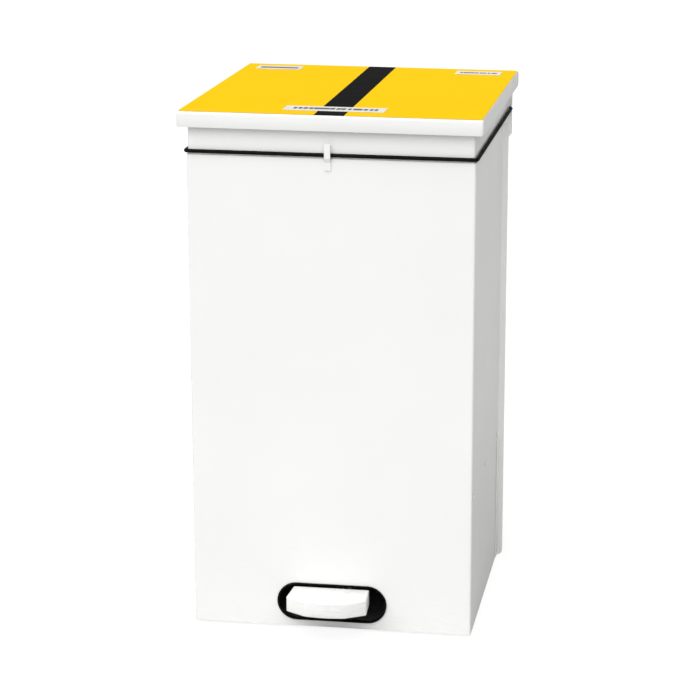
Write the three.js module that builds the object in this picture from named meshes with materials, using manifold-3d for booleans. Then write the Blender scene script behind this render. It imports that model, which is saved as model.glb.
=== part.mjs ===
// Hospital pedal bin with a removable body: a frame with a sack collar, a hinged lid,
// a pedal that lifts the lid through a push rod, and a body shell that slides off forwards.
// Millimetres. +X is to the right, +Y to the back, +Z up.
import * as THREE from 'three';
import { mergeVertices } from 'three/addons/utils/BufferGeometryUtils.js';
import Module from 'manifold-3d';

const wasm = await Module();
wasm.setup();

// ---- Driving dimensions --------------------------------------------------------------------

const gap = 0.3; // air left between two pieces that touch
const sheet = 1.2; // painted steel sheet
const baseSheet = 1.5; // base tray sheet
const barSteel = 3; // cut steel plate of lugs and brackets
const bendRadius = 3; // outside radius of a sheet bend
const smallBend = 2; // outside radius of a bend in a narrow strip
const arcSteps = 5; // facets in a sheet bend

const bodyWidth = 370; // outside width of the removable body
const bodyDepth = 310; // front face to the back of its rear flanges
const bodyTop = 634;
const bodyBottom = 3;
const flangeOut = 8.5; // how far a rear flange of the body stands out
const flangeCorner = 8; // rounded bottom corner of that flange

const collarInset = 0.4; // air between the body and the collar inside it
const collarRise = 50; // collar above the body
const collarLap = 39; // collar down inside the body
const collarLip = 8; // inward lip round the sack mouth
const collarFlangeOut = 4.6; // outward flange at the collar's rear edge
const collarFlangeChamfer = 8;
const frameDepth = 408; // front face of the body to the rear face of the collar
const mouthDepth = 360; // front face of the body to the rear wall of the sack mouth

const lidOverhang = 10; // lid beyond the body at the front and sides
const lidRise = 6; // top of the lid above the collar
const lidSkirt = 20;
const lidEdgeRadius = 3;
const lidCornerFront = 4; // rounded lower corners of the skirts at the front
const lidCornerRear = 10; // and at the rear
const lidOpen = 75; // degrees
const film = 0.3; // printed film on the lid

const bandDiameter = 5;
const bandRise = 4.5; // middle of the band above the body
const bandCorner = 5; // centreline radius of the band at a corner

const hingeRodDiameter = 6;
const hingeEye = 6; // radius of the metal round the hinge rod
const hingeDrop = 10; // hinge axis below the collar top
const hingeBack = 6; // hinge axis behind the collar
const hingePlay = 0.8; // air between the hinge eyes and the lid's rear skirt
const hingeClear = 19; // hinge axis above the back panel
const panelLap = 14; // back panel forward of the body's rear edge
const innerPanelLap = 45; // inner panel up behind the collar's rear wall
const innerPanelFlange = 15;
const crankRadius = 34; // hinge axis to the crank pin

const apertureHeight = 49.5; // round-ended slot cut in the body's front for the pedal
const apertureMiddle = 38; // its height above the floor
const edgingLap = 1.2; // rubber edging over the sheet
const edgingWall = 1.2; // rubber edging inside the slot
const edgingLip = 1.8; // rubber edging in front of the sheet and behind it

const footHeight = 8; // floor to the underside of the base tray
const footRadius = 16;
const footStem = 4.5;
const footInset = 34;
const trayFlange = 26;
const trayFront = 8;
const boltRadius = 3;
const boltPitch = 48; // between the two bolts of the pedal bracket
const platformHeight = 89; // top of the floor plate that carries the sack

const pedalAxleBack = 95; // pedal axle behind the body's front face
const pedalAxleDiameter = 10;
const pedalBushWall = 2.5;
const bracketHalf = 12; // outside of the pedal bracket's cheeks
const bracketCheek = 30; // depth of a cheek
const bracketLength = 68;
const hubRadius = 12;
const padWidth = 101;
const padOverSlot = 6.5; // the pad is this much wider than the straight part of the slot
const padReach = 60; // pedal pad in front of the body
const padThickness = 21;
const padFlare = 2.5; // the pad widens this much on each side towards its front
const padNoseShare = 0.27; // half width of the bowed nose as a share of the pad's width
const padSlant = 15; // depth of the slanted front corners
const padBow = 3; // depth of the nose's curve
const padPlay = 1.55; // air between the pad at rest and the slot's edging
const padWall = 2;
const armThickness = 6;

const rodDiameter = 8;
const pinDiameter = 6;
const forkWidth = 18;
const forkSlot = 4.6;
const forkPlay = 0.75; // clearance of a pin in its long hole

const railHeight = 192; // middle of the rails that carry the body
const railWidth = 10;
const railDepth = 16;
const runnerShort = 18; // runner ends this far before the body's rear edge
const rivetFront = 12; // first rivet behind the body's front
const rivetRear = 22; // last rivet before the body's rear edge
const rivetShank = 2;
const rivetHead = 4;
const doublerSheet = 1.5;
const doublerFront = 20; // doubler from the body's rear edge
const doublerRear = 5;

// ---- Worked-out places ---------------------------------------------------------------------

const collarTop = bodyTop + collarRise;
const collarBottom = bodyTop - collarLap;
const bandHeight = bodyTop + bandRise;
const lidTop = collarTop + lidRise;
const apertureWidth = padWidth - padOverSlot + apertureHeight;
const padTop = apertureMiddle + apertureHeight / 2 - edgingWall - padPlay;

const halfBody = bodyWidth / 2;
const halfCollar = halfBody - sheet - collarInset; // outside of the collar's side walls
const collarFront = sheet + collarInset;
const halfPanel = halfCollar - sheet - 0.7; // outside of the back panel, inside the collar
const halfTray = halfPanel - sheet - gap;
const halfPlatform = halfTray - baseSheet - gap;
const trayTop = footHeight + baseSheet;
const platformFoot = footHeight + bendRadius + gap; // above the bend of the tray

const lidWidth = bodyWidth + 2 * lidOverhang;
const hingeY = frameDepth + hingeBack;
const hingeZ = collarTop - hingeDrop;
const lidRear = hingeY + hingeEye + hingePlay + sheet;
const lidUnder = lidTop - sheet;

const halfOpen = THREE.MathUtils.degToRad(lidOpen / 2);
const crankPinY = hingeY - crankRadius * Math.cos(halfOpen);
const crankPinZ = hingeZ - crankRadius * Math.sin(halfOpen);
const rodY = hingeY - crankRadius * (1 + Math.cos(halfOpen)) / 2;
const rodTravel = 2 * crankRadius * Math.sin(halfOpen);
const crankSwing = crankRadius * (1 - Math.cos(halfOpen));

const plateTop = padTop - padWall - gap;
const pedalAxleHeight = plateTop - barSteel - gap - hubRadius; // the arm's top edge is level
const armLength = rodY - pedalAxleBack;
const armPinZ = pedalAxleHeight - rodTravel / 2;
const pedalTurn = 2 * Math.asin(rodTravel / 2 / armLength);
const armSwing = armLength * (1 - Math.cos(pedalTurn / 2));

const boltPlaces = [
  ['front', pedalAxleBack - boltPitch / 2],
  ['rear', pedalAxleBack + boltPitch / 2],
];

const webTop = hingeZ - hingeClear; // top of the back panel, below the turning lid
const innerPanelTop = collarBottom + innerPanelLap;
const panelFront = bodyDepth - panelLap; // front edges of the back panel's sides

// ---- Geometry helpers ----------------------------------------------------------------------

function toSolid(geometry) {
  const plain = geometry.clone();
  plain.deleteAttribute('normal');
  plain.deleteAttribute('uv');
  const merged = mergeVertices(plain, 1e-4);
  return new wasm.Manifold(new wasm.Mesh({
    numProp: 3,
    vertProperties: new Float32Array(merged.attributes.position.array),
    triVerts: new Uint32Array(merged.index.array),
  }));
}

function toGeometry(solid) {
  const mesh = solid.getMesh();
  const geometry = new THREE.BufferGeometry();
  geometry.setAttribute('position', new THREE.BufferAttribute(mesh.vertProperties, 3));
  geometry.setIndex(new THREE.BufferAttribute(mesh.triVerts, 1));
  geometry.computeVertexNormals();
  return geometry;
}

function join(...geometries) {
  return toGeometry(geometries.map(toSolid).reduce((sum, solid) => sum.add(solid)));
}

function cut(geometry, ...tools) {
  return toGeometry(tools.map(toSolid).reduce((rest, tool) => rest.subtract(tool), toSolid(geometry)));
}

function common(a, b) {
  return toGeometry(toSolid(a).intersect(toSolid(b)));
}

function block(x0, x1, y0, y1, z0, z1) {
  const geometry = new THREE.BoxGeometry(x1 - x0, y1 - y0, z1 - z0);
  return geometry.translate((x0 + x1) / 2, (y0 + y1) / 2, (z0 + z1) / 2);
}

// A shape drawn in X and Y, extruded upwards from z0 to z1.
function extrudeUp(shape, z0, z1) {
  const options = { depth: z1 - z0, bevelEnabled: false, curveSegments: 12 };
  return new THREE.ExtrudeGeometry(shape, options).translate(0, 0, z0);
}

// A shape drawn in Y and Z, extruded along X.
function extrudeAcross(shape, x0, x1) {
  const geometry = extrudeUp(shape, 0, x1 - x0);
  const frame = new THREE.Matrix4().makeBasis(
    new THREE.Vector3(0, 1, 0), new THREE.Vector3(0, 0, 1), new THREE.Vector3(1, 0, 0));
  return geometry.applyMatrix4(frame).translate(x0, 0, 0);
}

// A shape drawn in X and Z, extruded along Y.
function extrudeBack(shape, y0, y1) {
  const geometry = extrudeUp(shape, 0, y1 - y0);
  return geometry.rotateX(Math.PI / 2).translate(0, y1, 0);
}

function rodAlongX(radius, x0, x1, y, z, sides = 24) {
  const geometry = new THREE.CylinderGeometry(radius, radius, x1 - x0, sides);
  return geometry.rotateZ(Math.PI / 2).translate((x0 + x1) / 2, y, z);
}

function rodAlongY(radius, y0, y1, x, z, sides = 24) {
  return new THREE.CylinderGeometry(radius, radius, y1 - y0, sides).translate(x, (y0 + y1) / 2, z);
}

function rodAlongZ(radius, z0, z1, x, y, sides = 24) {
  const geometry = new THREE.CylinderGeometry(radius, radius, z1 - z0, sides);
  return geometry.rotateX(Math.PI / 2).translate(x, y, (z0 + z1) / 2);
}

// The section of a folded sheet: the outside face follows the points, the sheet lies on the
// left of the walk, and each bend has an outside radius or, on the hollow side, an inside one.
function foldedSheet(points, thickness, radius = bendRadius) {
  const corners = points.map(([x, y]) => new THREE.Vector2(x, y));
  const face = [corners[0]];
  const back = [];
  const first = corners[1].clone().sub(corners[0]).normalize();
  back.push(corners[0].clone().add(new THREE.Vector2(-first.y, first.x).multiplyScalar(thickness)));
  for (let i = 1; i < corners.length - 1; i += 1) {
    const before = corners[i].clone().sub(corners[i - 1]).normalize();
    const after = corners[i + 1].clone().sub(corners[i]).normalize();
    const turnsLeft = before.cross(after) > 0;
    const faceRadius = turnsLeft ? radius : radius - thickness;
    const backRadius = turnsLeft ? radius - thickness : radius;
    const side = turnsLeft ? 1 : -1;
    const turn = Math.acos(THREE.MathUtils.clamp(before.dot(after), -1, 1));
    const start = corners[i].clone().addScaledVector(before, -faceRadius * Math.tan(turn / 2));
    const centre = start.clone().add(
      new THREE.Vector2(-before.y, before.x).multiplyScalar(side * faceRadius));
    for (let k = 0; k <= arcSteps; k += 1) {
      const angle = side * turn * k / arcSteps;
      const outward = new THREE.Vector2(before.y, -before.x).multiplyScalar(side)
        .rotateAround(new THREE.Vector2(0, 0), angle);
      face.push(centre.clone().addScaledVector(outward, faceRadius));
      back.push(centre.clone().addScaledVector(outward, backRadius));
    }
  }
  const tip = corners[corners.length - 1];
  const last = tip.clone().sub(corners[corners.length - 2]).normalize();
  face.push(tip);
  back.push(tip.clone().add(new THREE.Vector2(-last.y, last.x).multiplyScalar(thickness)));
  return new THREE.Shape([...face, ...back.reverse()]);
}

// Two round ends of different size and the straight flanks that touch both.
function linkShape([ax, ay], ra, [bx, by], rb) {
  const direction = Math.atan2(by - ay, bx - ax);
  const spread = Math.acos((ra - rb) / Math.hypot(bx - ax, by - ay));
  const shape = new THREE.Shape();
  shape.absarc(ax, ay, ra, direction + spread, direction - spread + 2 * Math.PI, false);
  shape.absarc(bx, by, rb, direction - spread, direction + spread, false);
  return shape;
}

function roundedRectangle(x0, x1, y0, y1, radius) {
  const shape = new THREE.Shape();
  shape.absarc(x1 - radius, y1 - radius, radius, 0, Math.PI / 2, false);
  shape.absarc(x0 + radius, y1 - radius, radius, Math.PI / 2, Math.PI, false);
  shape.absarc(x0 + radius, y0 + radius, radius, Math.PI, 1.5 * Math.PI, false);
  shape.absarc(x1 - radius, y0 + radius, radius, 1.5 * Math.PI, 2 * Math.PI, false);
  return shape;
}

// The waste outside a quarter round, in the lower right corner of whatever is at the origin.
function cornerWaste(radius) {
  const shape = new THREE.Shape();
  shape.moveTo(1, -1);
  shape.lineTo(-radius, -1);
  shape.absarc(-radius, radius, radius, -Math.PI / 2, 0, false);
  shape.lineTo(1, radius);
  return shape;
}

function turned(profile, sides = 24) {
  const points = profile.map(([radius, height]) => new THREE.Vector2(radius, height));
  return new THREE.LatheGeometry(points, sides).rotateX(Math.PI / 2);
}

const paint = { color: 0xf4f4f3, roughness: 0.35, metalness: 0 };
const zinc = { color: 0xb8babc, roughness: 0.4, metalness: 0.9 };
const blackRubber = { color: 0x1a1a1b, roughness: 0.8, metalness: 0 };
const nylon = { color: 0xe6e2d6, roughness: 0.5, metalness: 0 };
const yellowFilm = { color: 0xfcd404, roughness: 0.3, metalness: 0 };
const blackFilm = { color: 0x1b1b1b, roughness: 0.3, metalness: 0 };
const whiteFilm = { color: 0xfafaf6, roughness: 0.35, metalness: 0 };

const bin = new THREE.Group();

function add(name, geometry, look) {
  const mesh = new THREE.Mesh(geometry, new THREE.MeshStandardMaterial(look));
  mesh.name = name;
  bin.add(mesh);
  return mesh;
}

const sides = [['left', -1], ['right', 1]];

// Mirrors a right-hand piece to the left where the side is -1, with its faces turned outwards.
function mirrored(geometry, side) {
  if (side > 0) {
    return geometry;
  }
  const flipped = geometry.index ? geometry.toNonIndexed() : geometry.clone();
  flipped.scale(-1, 1, 1);
  const position = flipped.attributes.position;
  const swap = new THREE.Vector3();
  const other = new THREE.Vector3();
  for (let i = 0; i < position.count; i += 3) {
    swap.fromBufferAttribute(position, i + 1);
    other.fromBufferAttribute(position, i + 2);
    position.setXYZ(i + 1, other.x, other.y, other.z);
    position.setXYZ(i + 2, swap.x, swap.y, swap.z);
  }
  return flipped;
}

// ---- Base: tray, feet and sack platform ----------------------------------------------------

const trayRear = frameDepth - gap - bendRadius; // clear of the bends of the back panel
const footX = halfTray - footInset;
const footPlaces = [
  ['front_left', -footX, trayFront + footInset],
  ['front_right', footX, trayFront + footInset],
  ['rear_left', -footX, trayRear - footInset],
  ['rear_right', footX, trayRear - footInset],
];

function baseTray() {
  const section = foldedSheet([
    [-halfTray, footHeight + trayFlange],
    [-halfTray, footHeight],
    [halfTray, footHeight],
    [halfTray, footHeight + trayFlange],
  ], baseSheet);
  const holes = footPlaces.map(([, x, y]) => (
    rodAlongZ(footStem + gap, footHeight - 1, trayTop + 1, x, y)));
  const boltHoles = boltPlaces.map(([, y]) => (
    rodAlongZ(boltRadius + gap, footHeight - 1, trayTop + 1, 0, y)));
  return cut(extrudeBack(section, trayFront, trayRear), ...holes, ...boltHoles);
}

function foot() {
  return turned([
    [0, 0],
    [footRadius - 2, 0],
    [footRadius, 2],
    [footRadius, footHeight - gap],
    [footStem, footHeight - gap],
    [footStem, trayTop + gap],
    [footStem + 2, trayTop + 1.5],
    [footStem - 1.5, trayTop + 6],
    [0, trayTop + 6],
  ]);
}

function sackPlatform() {
  const section = foldedSheet([
    [halfPlatform, platformFoot],
    [halfPlatform, platformHeight],
    [-halfPlatform, platformHeight],
    [-halfPlatform, platformFoot],
  ], sheet);
  return extrudeBack(section, trayFront + 6, mouthDepth - 2);
}

add('base_tray', baseTray(), zinc);
for (const [place, x, y] of footPlaces) {
  add(`foot_${place}`, foot(), blackRubber).position.set(x, y, 0);
}
add('sack_platform', sackPlatform(), zinc);

// ---- Back of the frame: channel panel, inner panel and the rails for the body --------------

function backPanel() {
  const section = foldedSheet([
    [halfPanel, panelFront],
    [halfPanel, frameDepth - gap],
    [-halfPanel, frameDepth - gap],
    [-halfPanel, panelFront],
  ], sheet);
  const channel = extrudeUp(section, footHeight, webTop);
  const aboveRails = block(-halfBody, halfBody, 0, mouthDepth + sheet, collarBottom - 5, collarTop);
  return cut(channel, aboveRails);
}

function innerPanel() {
  const half = halfPanel - sheet - gap;
  const section = foldedSheet([
    [-half, mouthDepth + innerPanelFlange],
    [-half, mouthDepth + gap],
    [half, mouthDepth + gap],
    [half, mouthDepth + innerPanelFlange],
  ], sheet);
  return extrudeUp(section, platformHeight + bendRadius, innerPanelTop);
}

function sideRail() {
  const outside = halfPanel - sheet - gap;
  const top = railHeight + railDepth / 2;
  const section = foldedSheet([
    [outside, top],
    [outside - railWidth, top],
    [outside - railWidth, top - railDepth],
    [outside, top - railDepth],
  ], sheet, smallBend);
  return extrudeBack(section, trayFront + 4, mouthDepth - 4);
}

add('back_panel', backPanel(), paint);
add('inner_panel', innerPanel(), paint);
for (const [name, side] of sides) {
  add(`side_rail_${name}`, mirrored(sideRail(), side), zinc);
}

// ---- Collar that holds the sack, its rear wall and the rubber band -------------------------

const bandRadius = bandDiameter / 2;
const bandX = halfCollar + bandRadius + gap;
const bandFront = collarFront - bandRadius - gap;
const bandRear = frameDepth + bandRadius + gap;
const bufferStem = 2;
const bufferRadius = 4;
const bufferX = halfCollar - (collarLip + sheet) / 2;
const bufferY = 26;

function collar() {
  const flangeFront = frameDepth - sheet;
  const section = foldedSheet([
    [-halfCollar - collarFlangeOut, flangeFront],
    [-halfCollar, flangeFront],
    [-halfCollar, collarFront],
    [halfCollar, collarFront],
    [halfCollar, flangeFront],
    [halfCollar + collarFlangeOut, flangeFront],
  ], sheet);
  const walls = extrudeUp(section, collarBottom, collarTop);
  const lipOuter = halfCollar - sheet / 2;
  const lipFront = collarFront + sheet / 2;
  const lipPlate = block(-lipOuter, lipOuter, lipFront, mouthDepth - sheet - gap,
    collarTop - sheet, collarTop);
  const mouth = block(-halfCollar + collarLip, halfCollar - collarLip, collarFront + collarLip,
    mouthDepth + 1, collarTop - 2 * sheet, collarTop + 1);
  const corner = new THREE.Shape([
    new THREE.Vector2(0, 0),
    new THREE.Vector2(collarFlangeChamfer, 0),
    new THREE.Vector2(collarFlangeChamfer, collarFlangeChamfer),
  ]);
  const reach = halfCollar + collarFlangeOut + 0.1 - collarFlangeChamfer;
  const chamfer = extrudeBack(corner, frameDepth - 2 * sheet, frameDepth + 1)
    .translate(reach, 0, collarBottom - 0.1);
  const notch = block(halfCollar - gap - 0.1, halfBody + lidOverhang, frameDepth - 5, frameDepth + 1,
    bandHeight - bandRadius - gap, bandHeight + bandRadius + gap);
  const buffers = sides.map(([, side]) => (
    rodAlongZ(bufferStem + gap, collarTop - 3, collarTop + 1, side * bufferX, bufferY)));
  return cut(join(walls, cut(lipPlate, mouth)), chamfer, mirrored(chamfer, -1), notch,
    mirrored(notch, -1), ...buffers);
}

function collarRearWall() {
  const half = halfCollar - sheet - gap;
  const section = foldedSheet([
    [mouthDepth + collarLip, collarTop],
    [mouthDepth - sheet, collarTop],
    [mouthDepth - sheet, collarBottom],
  ], sheet);
  return extrudeAcross(section, -half, half);
}

function sackBand() {
  const long = bandX - bandCorner;
  const lengthY = [bandFront + bandCorner, bandRear - bandCorner];
  const lap = 0.2;
  const straights = [
    rodAlongX(bandRadius, -long - lap, long + lap, bandFront, bandHeight, 12),
    rodAlongX(bandRadius, -long - lap, long + lap, bandRear, bandHeight, 12),
    rodAlongY(bandRadius, lengthY[0] - lap, lengthY[1] + lap, -bandX, bandHeight, 12),
    rodAlongY(bandRadius, lengthY[0] - lap, lengthY[1] + lap, bandX, bandHeight, 12),
  ];
  const ring = new THREE.TorusGeometry(bandCorner, bandRadius, 12, 24);
  const reach = bandCorner + bandDiameter;
  const turns = [];
  for (const [sx, sy] of [[1, 1], [-1, 1], [-1, -1], [1, -1]]) {
    const quarter = block(Math.min(0, sx * reach), Math.max(0, sx * reach),
      Math.min(0, sy * reach), Math.max(0, sy * reach), -bandDiameter, bandDiameter);
    const centreY = sy > 0 ? lengthY[1] : lengthY[0];
    turns.push(common(ring, quarter).translate(sx * long, centreY, bandHeight));
  }
  return join(...straights, ...turns);
}

function lidBuffer() {
  return turned([
    [0, -3],
    [bufferStem, -3],
    [bufferStem, gap],
    [bufferRadius, gap],
    [bufferRadius, lidUnder - collarTop - 1.3],
    [bufferRadius - 1, lidUnder - collarTop - gap],
    [0, lidUnder - collarTop - gap],
  ], 16);
}

add('collar', collar(), paint);
add('collar_rear_wall', collarRearWall(), paint);
add('sack_band', sackBand(), blackRubber);
for (const [name, side] of sides) {
  add(`lid_buffer_${name}`, lidBuffer(), blackRubber).position.set(side * bufferX, bufferY, collarTop);
}

// ---- Hinge: brackets on the frame and the rod through them ----------------------------------

const hingeRadius = hingeRodDiameter / 2;
const bracketX = halfPanel - sheet - gap; // outer face of a hinge bracket
const bracketDrop = 25; // bracket below the top of the back panel

function hingeBracket() {
  const arm = linkShape([hingeY, hingeZ], hingeEye, [hingeY - 20, hingeZ], hingeEye);
  const plate = block(bracketX - barSteel, bracketX, frameDepth - 28, frameDepth - 4,
    webTop - bracketDrop, hingeZ + hingeEye);
  const eye = rodAlongX(hingeRadius + gap, bracketX - 2 * barSteel, bracketX + 1, hingeY, hingeZ);
  return cut(join(extrudeAcross(arm, bracketX - barSteel, bracketX), plate), eye);
}

function hingeRod() {
  const head = 2;
  const headFrom = bracketX + gap;
  return join(
    rodAlongX(hingeRadius, -headFrom - 1, headFrom + 1, hingeY, hingeZ),
    rodAlongX(hingeRadius + 1.5, headFrom, headFrom + head, hingeY, hingeZ),
    rodAlongX(hingeRadius + 1.5, -headFrom - head, -headFrom, hingeY, hingeZ),
  );
}

for (const [name, side] of sides) {
  add(`hinge_bracket_${name}`, mirrored(hingeBracket(), side), zinc);
}
add('hinge_rod', hingeRod(), zinc);

// ---- Pedal bracket, axle and bolts -----------------------------------------------------------

const axleRadius = pedalAxleDiameter / 2;
const bracketFloor = trayTop + gap;

function pedalBracket() {
  const top = pedalAxleHeight + hubRadius;
  const section = foldedSheet([
    [-bracketHalf, top],
    [-bracketHalf, bracketFloor],
    [bracketHalf, bracketFloor],
    [bracketHalf, top],
  ], barSteel, barSteel + 1);
  const start = pedalAxleBack - bracketLength / 2;
  const end = pedalAxleBack + bracketLength / 2;
  const clear = bracketFloor + barSteel;
  const reach = bracketHalf + 1;
  return cut(
    extrudeBack(section, start, end),
    block(-reach, reach, start - 1, pedalAxleBack - bracketCheek / 2, clear, top + 1),
    block(-reach, reach, pedalAxleBack + bracketCheek / 2, end + 1, clear, top + 1),
    rodAlongX(axleRadius + gap, -reach, reach, pedalAxleBack, pedalAxleHeight),
    ...boltPlaces.map(([, y]) => rodAlongZ(boltRadius + gap, footHeight, clear + 1, 0, y)),
  );
}

function pedalAxle() {
  const headFrom = bracketHalf + gap;
  const place = [pedalAxleBack, pedalAxleHeight];
  return join(
    rodAlongX(axleRadius, -headFrom - 1, headFrom + 1, ...place),
    rodAlongX(axleRadius + 2, headFrom, headFrom + 2.5, ...place),
    rodAlongX(axleRadius + 2, -headFrom - 2.5, -headFrom, ...place),
  );
}

function bracketBolt() {
  const headFrom = bracketFloor + barSteel + gap;
  return join(
    rodAlongZ(boltRadius, footHeight - 2, headFrom + 1, 0, 0),
    rodAlongZ(boltRadius + 2.5, headFrom, headFrom + 4, 0, 0, 6),
  );
}

add('pedal_bracket', pedalBracket(), zinc);
add('pedal_axle', pedalAxle(), zinc);
for (const [name, y] of boltPlaces) {
  add(`bracket_bolt_${name}`, bracketBolt(), zinc).position.set(0, y, 0);
}

// ---- Guides that keep the push rod upright ---------------------------------------------------

const rodRadius = rodDiameter / 2;
const guideHeights = [['lower', railHeight + 8], ['upper', webTop - 135]];
const guideHalf = { x: 14, z: 7 };
const guideFront = rodRadius + 5; // guide in front of the rod's middle

function rodGuide() {
  const rear = frameDepth - gap - sheet - gap;
  const body = block(-guideHalf.x, guideHalf.x, rodY - guideFront, rear, -guideHalf.z, guideHalf.z);
  return cut(body, rodAlongZ(rodRadius + gap, -8, 8, 0, rodY));
}

for (const [name, height] of guideHeights) {
  add(`rod_guide_${name}`, rodGuide(), nylon).position.set(0, 0, height);
}

// ---- Lid ----------------------------------------------------------------------------------------

const lidHalf = lidWidth / 2;
const lugFrom = 165; // inner face of a hinge lug

function skirtCorners() {
  const places = [
    [lidCornerRear, 0, lidHalf, lidRear],
    [lidCornerFront, Math.PI, -lidHalf, -lidOverhang],
  ];
  return places.flatMap(([radius, turn, x, y]) => {
    const wastes = [
      extrudeAcross(cornerWaste(radius), -2 * sheet, 1),
      extrudeBack(cornerWaste(radius), -2 * sheet, 1),
    ];
    return wastes.flatMap((waste) => {
      const placed = waste.rotateZ(turn).translate(x, y, lidTop - lidSkirt);
      return [placed, mirrored(placed, -1)];
    });
  });
}

function lidShell() {
  const outer = roundedRectangle(-lidHalf, lidHalf, -lidOverhang, lidRear, lidEdgeRadius);
  const inner = roundedRectangle(-lidHalf + sheet, lidHalf - sheet, -lidOverhang + sheet,
    lidRear - sheet, lidEdgeRadius - sheet);
  return cut(
    extrudeUp(outer, lidTop - lidSkirt, lidTop),
    extrudeUp(inner, lidTop - lidSkirt - 1, lidUnder),
    ...skirtCorners(),
  );
}

const ribHalf = 8; // top-hat rib under the lid
const ribDeep = 9;
const ribShort = 35; // rib ends this far inside the lid's sides

function lidStiffener() {
  const middle = mouthDepth / 2;
  const flange = lidUnder - gap - sheet;
  const crown = lidUnder - ribDeep;
  const section = foldedSheet([
    [middle - 2 * ribHalf, flange],
    [middle - ribHalf, flange],
    [middle - ribHalf, crown],
    [middle + ribHalf, crown],
    [middle + ribHalf, flange],
    [middle + 2 * ribHalf, flange],
  ], sheet, smallBend);
  return extrudeAcross(section, -lidHalf + ribShort, lidHalf - ribShort);
}

// A lug welded under the lid, with the hinge rod through its eye.
function lugPlate(x0, x1) {
  const top = lidUnder - gap;
  const web = linkShape([hingeY, hingeZ], hingeEye, [hingeY - 14, top - hingeEye], hingeEye);
  return join(extrudeAcross(web, x0, x1), block(x0, x1, hingeY - 24, hingeY, top - 4, top));
}

function hingeHole(x0, x1) {
  return rodAlongX(hingeRadius + gap, x0 - 1, x1 + 1, hingeY, hingeZ);
}

function lidCrank() {
  const half = barSteel / 2;
  const arm = linkShape([crankPinY, crankPinZ], 7, [hingeY, hingeZ], hingeEye);
  return cut(
    join(lugPlate(-half, half), extrudeAcross(arm, -half, half)),
    hingeHole(-half, half),
    rodAlongX(pinDiameter / 2 + gap, -half - 1, half + 1, crankPinY, crankPinZ),
  );
}

function pin(y, z) {
  return rodAlongX(pinDiameter / 2, -forkWidth / 2 - 2, forkWidth / 2 + 2, y, z);
}

add('lid_shell', lidShell(), paint);
add('lid_stiffener', lidStiffener(), paint);
for (const [name, side] of sides) {
  const lug = cut(lugPlate(lugFrom, lugFrom + barSteel), hingeHole(lugFrom, lugFrom + barSteel));
  add(`lid_lug_${name}`, mirrored(lug, side), zinc);
}
add('lid_crank', lidCrank(), zinc);
add('crank_pin', pin(crankPinY, crankPinZ), zinc);

// ---- Printed film and blank labels on the lid --------------------------------------------------

const filmInset = 2;
const stripeHalf = 19;
const filmZ = lidTop + gap;
const labelZ = filmZ + film + gap;
const filmFront = -lidOverhang + filmInset;
const filmRear = lidRear - filmInset;
const filmHalf = lidHalf - filmInset;
const frontLabel = { half: 65, from: 20, to: 54 };
const rearLabel = { inner: 110, outer: 174, from: lidRear - 54, to: lidRear - 24 };

add('film_yellow_left',
  block(-filmHalf, -stripeHalf - gap, filmFront, filmRear, filmZ, filmZ + film), yellowFilm);
add('film_yellow_right',
  block(stripeHalf + gap, filmHalf, filmFront, filmRear, filmZ, filmZ + film), yellowFilm);
add('film_black_stripe',
  block(-stripeHalf, stripeHalf, filmFront, filmRear, filmZ, filmZ + film), blackFilm);
add('label_front', block(-frontLabel.half, frontLabel.half, frontLabel.from, frontLabel.to,
  labelZ, labelZ + film), whiteFilm);
add('label_rear_left', block(-rearLabel.outer, -rearLabel.inner, rearLabel.from, rearLabel.to,
  labelZ, labelZ + film), whiteFilm);
add('label_rear_right', block(rearLabel.inner, rearLabel.outer, rearLabel.from, rearLabel.to,
  labelZ, labelZ + film), whiteFilm);

// ---- Pedal: arm, bush, plate, pad and the pin of the push rod -----------------------------------

const armPinY = pedalAxleBack + armLength * Math.cos(pedalTurn / 2);
const bushRadius = axleRadius + gap + pedalBushWall;
const armNose = 7; // radius of the arm's front end
const padRearEdge = -gap - edgingLip - 0.9; // the pad ends just in front of the slot's edging

function pedalArm() {
  const half = armThickness / 2;
  const hub = [pedalAxleBack, pedalAxleHeight];
  const nose = [-padReach + 22, plateTop - barSteel - gap - armNose];
  const front = linkShape(hub, hubRadius, nose, armNose);
  const rear = linkShape(hub, hubRadius, [armPinY, armPinZ], 8);
  return cut(
    join(extrudeAcross(front, -half, half), extrudeAcross(rear, -half, half)),
    rodAlongX(bushRadius + gap, -half - 1, half + 1, ...hub),
    rodAlongX(pinDiameter / 2 + gap, -half - 1, half + 1, armPinY, armPinZ),
  );
}

function pedalBush() {
  const half = bracketHalf - barSteel - gap;
  const place = [pedalAxleBack, pedalAxleHeight];
  return cut(
    rodAlongX(bushRadius, -half, half, ...place),
    rodAlongX(axleRadius + gap, -half - 1, half + 1, ...place),
  );
}

// Plan of the pad: a bowed nose between two slanted corners.
function padOutline(inset, rear) {
  const half = padWidth / 2 - inset;
  const wide = half + padFlare;
  const nose = padWidth * padNoseShare - inset / 2;
  const noseEnd = -padReach + padBow + inset;
  const cornerEnd = noseEnd - inset + padSlant;
  const shape = new THREE.Shape();
  shape.moveTo(half, rear);
  shape.lineTo(-half, rear);
  shape.lineTo(-wide, cornerEnd);
  shape.lineTo(-nose, noseEnd);
  shape.quadraticCurveTo(0, noseEnd - 2 * padBow, nose, noseEnd);
  shape.lineTo(wide, cornerEnd);
  return shape;
}

function pedalPad() {
  return cut(
    extrudeUp(padOutline(0, padRearEdge), padTop - padThickness, padTop),
    extrudeUp(padOutline(padWall, padRearEdge + 1), padTop - padThickness - 1, padTop - padWall),
  );
}

add('pedal_arm', pedalArm(), zinc);
add('pedal_bush', pedalBush(), nylon);
add('pedal_plate', block(-40, 40, -padReach + 14, -4, plateTop - barSteel, plateTop), zinc);
add('pedal_pad', pedalPad(), paint);
add('arm_pin', pin(armPinY, armPinZ), zinc);

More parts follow.
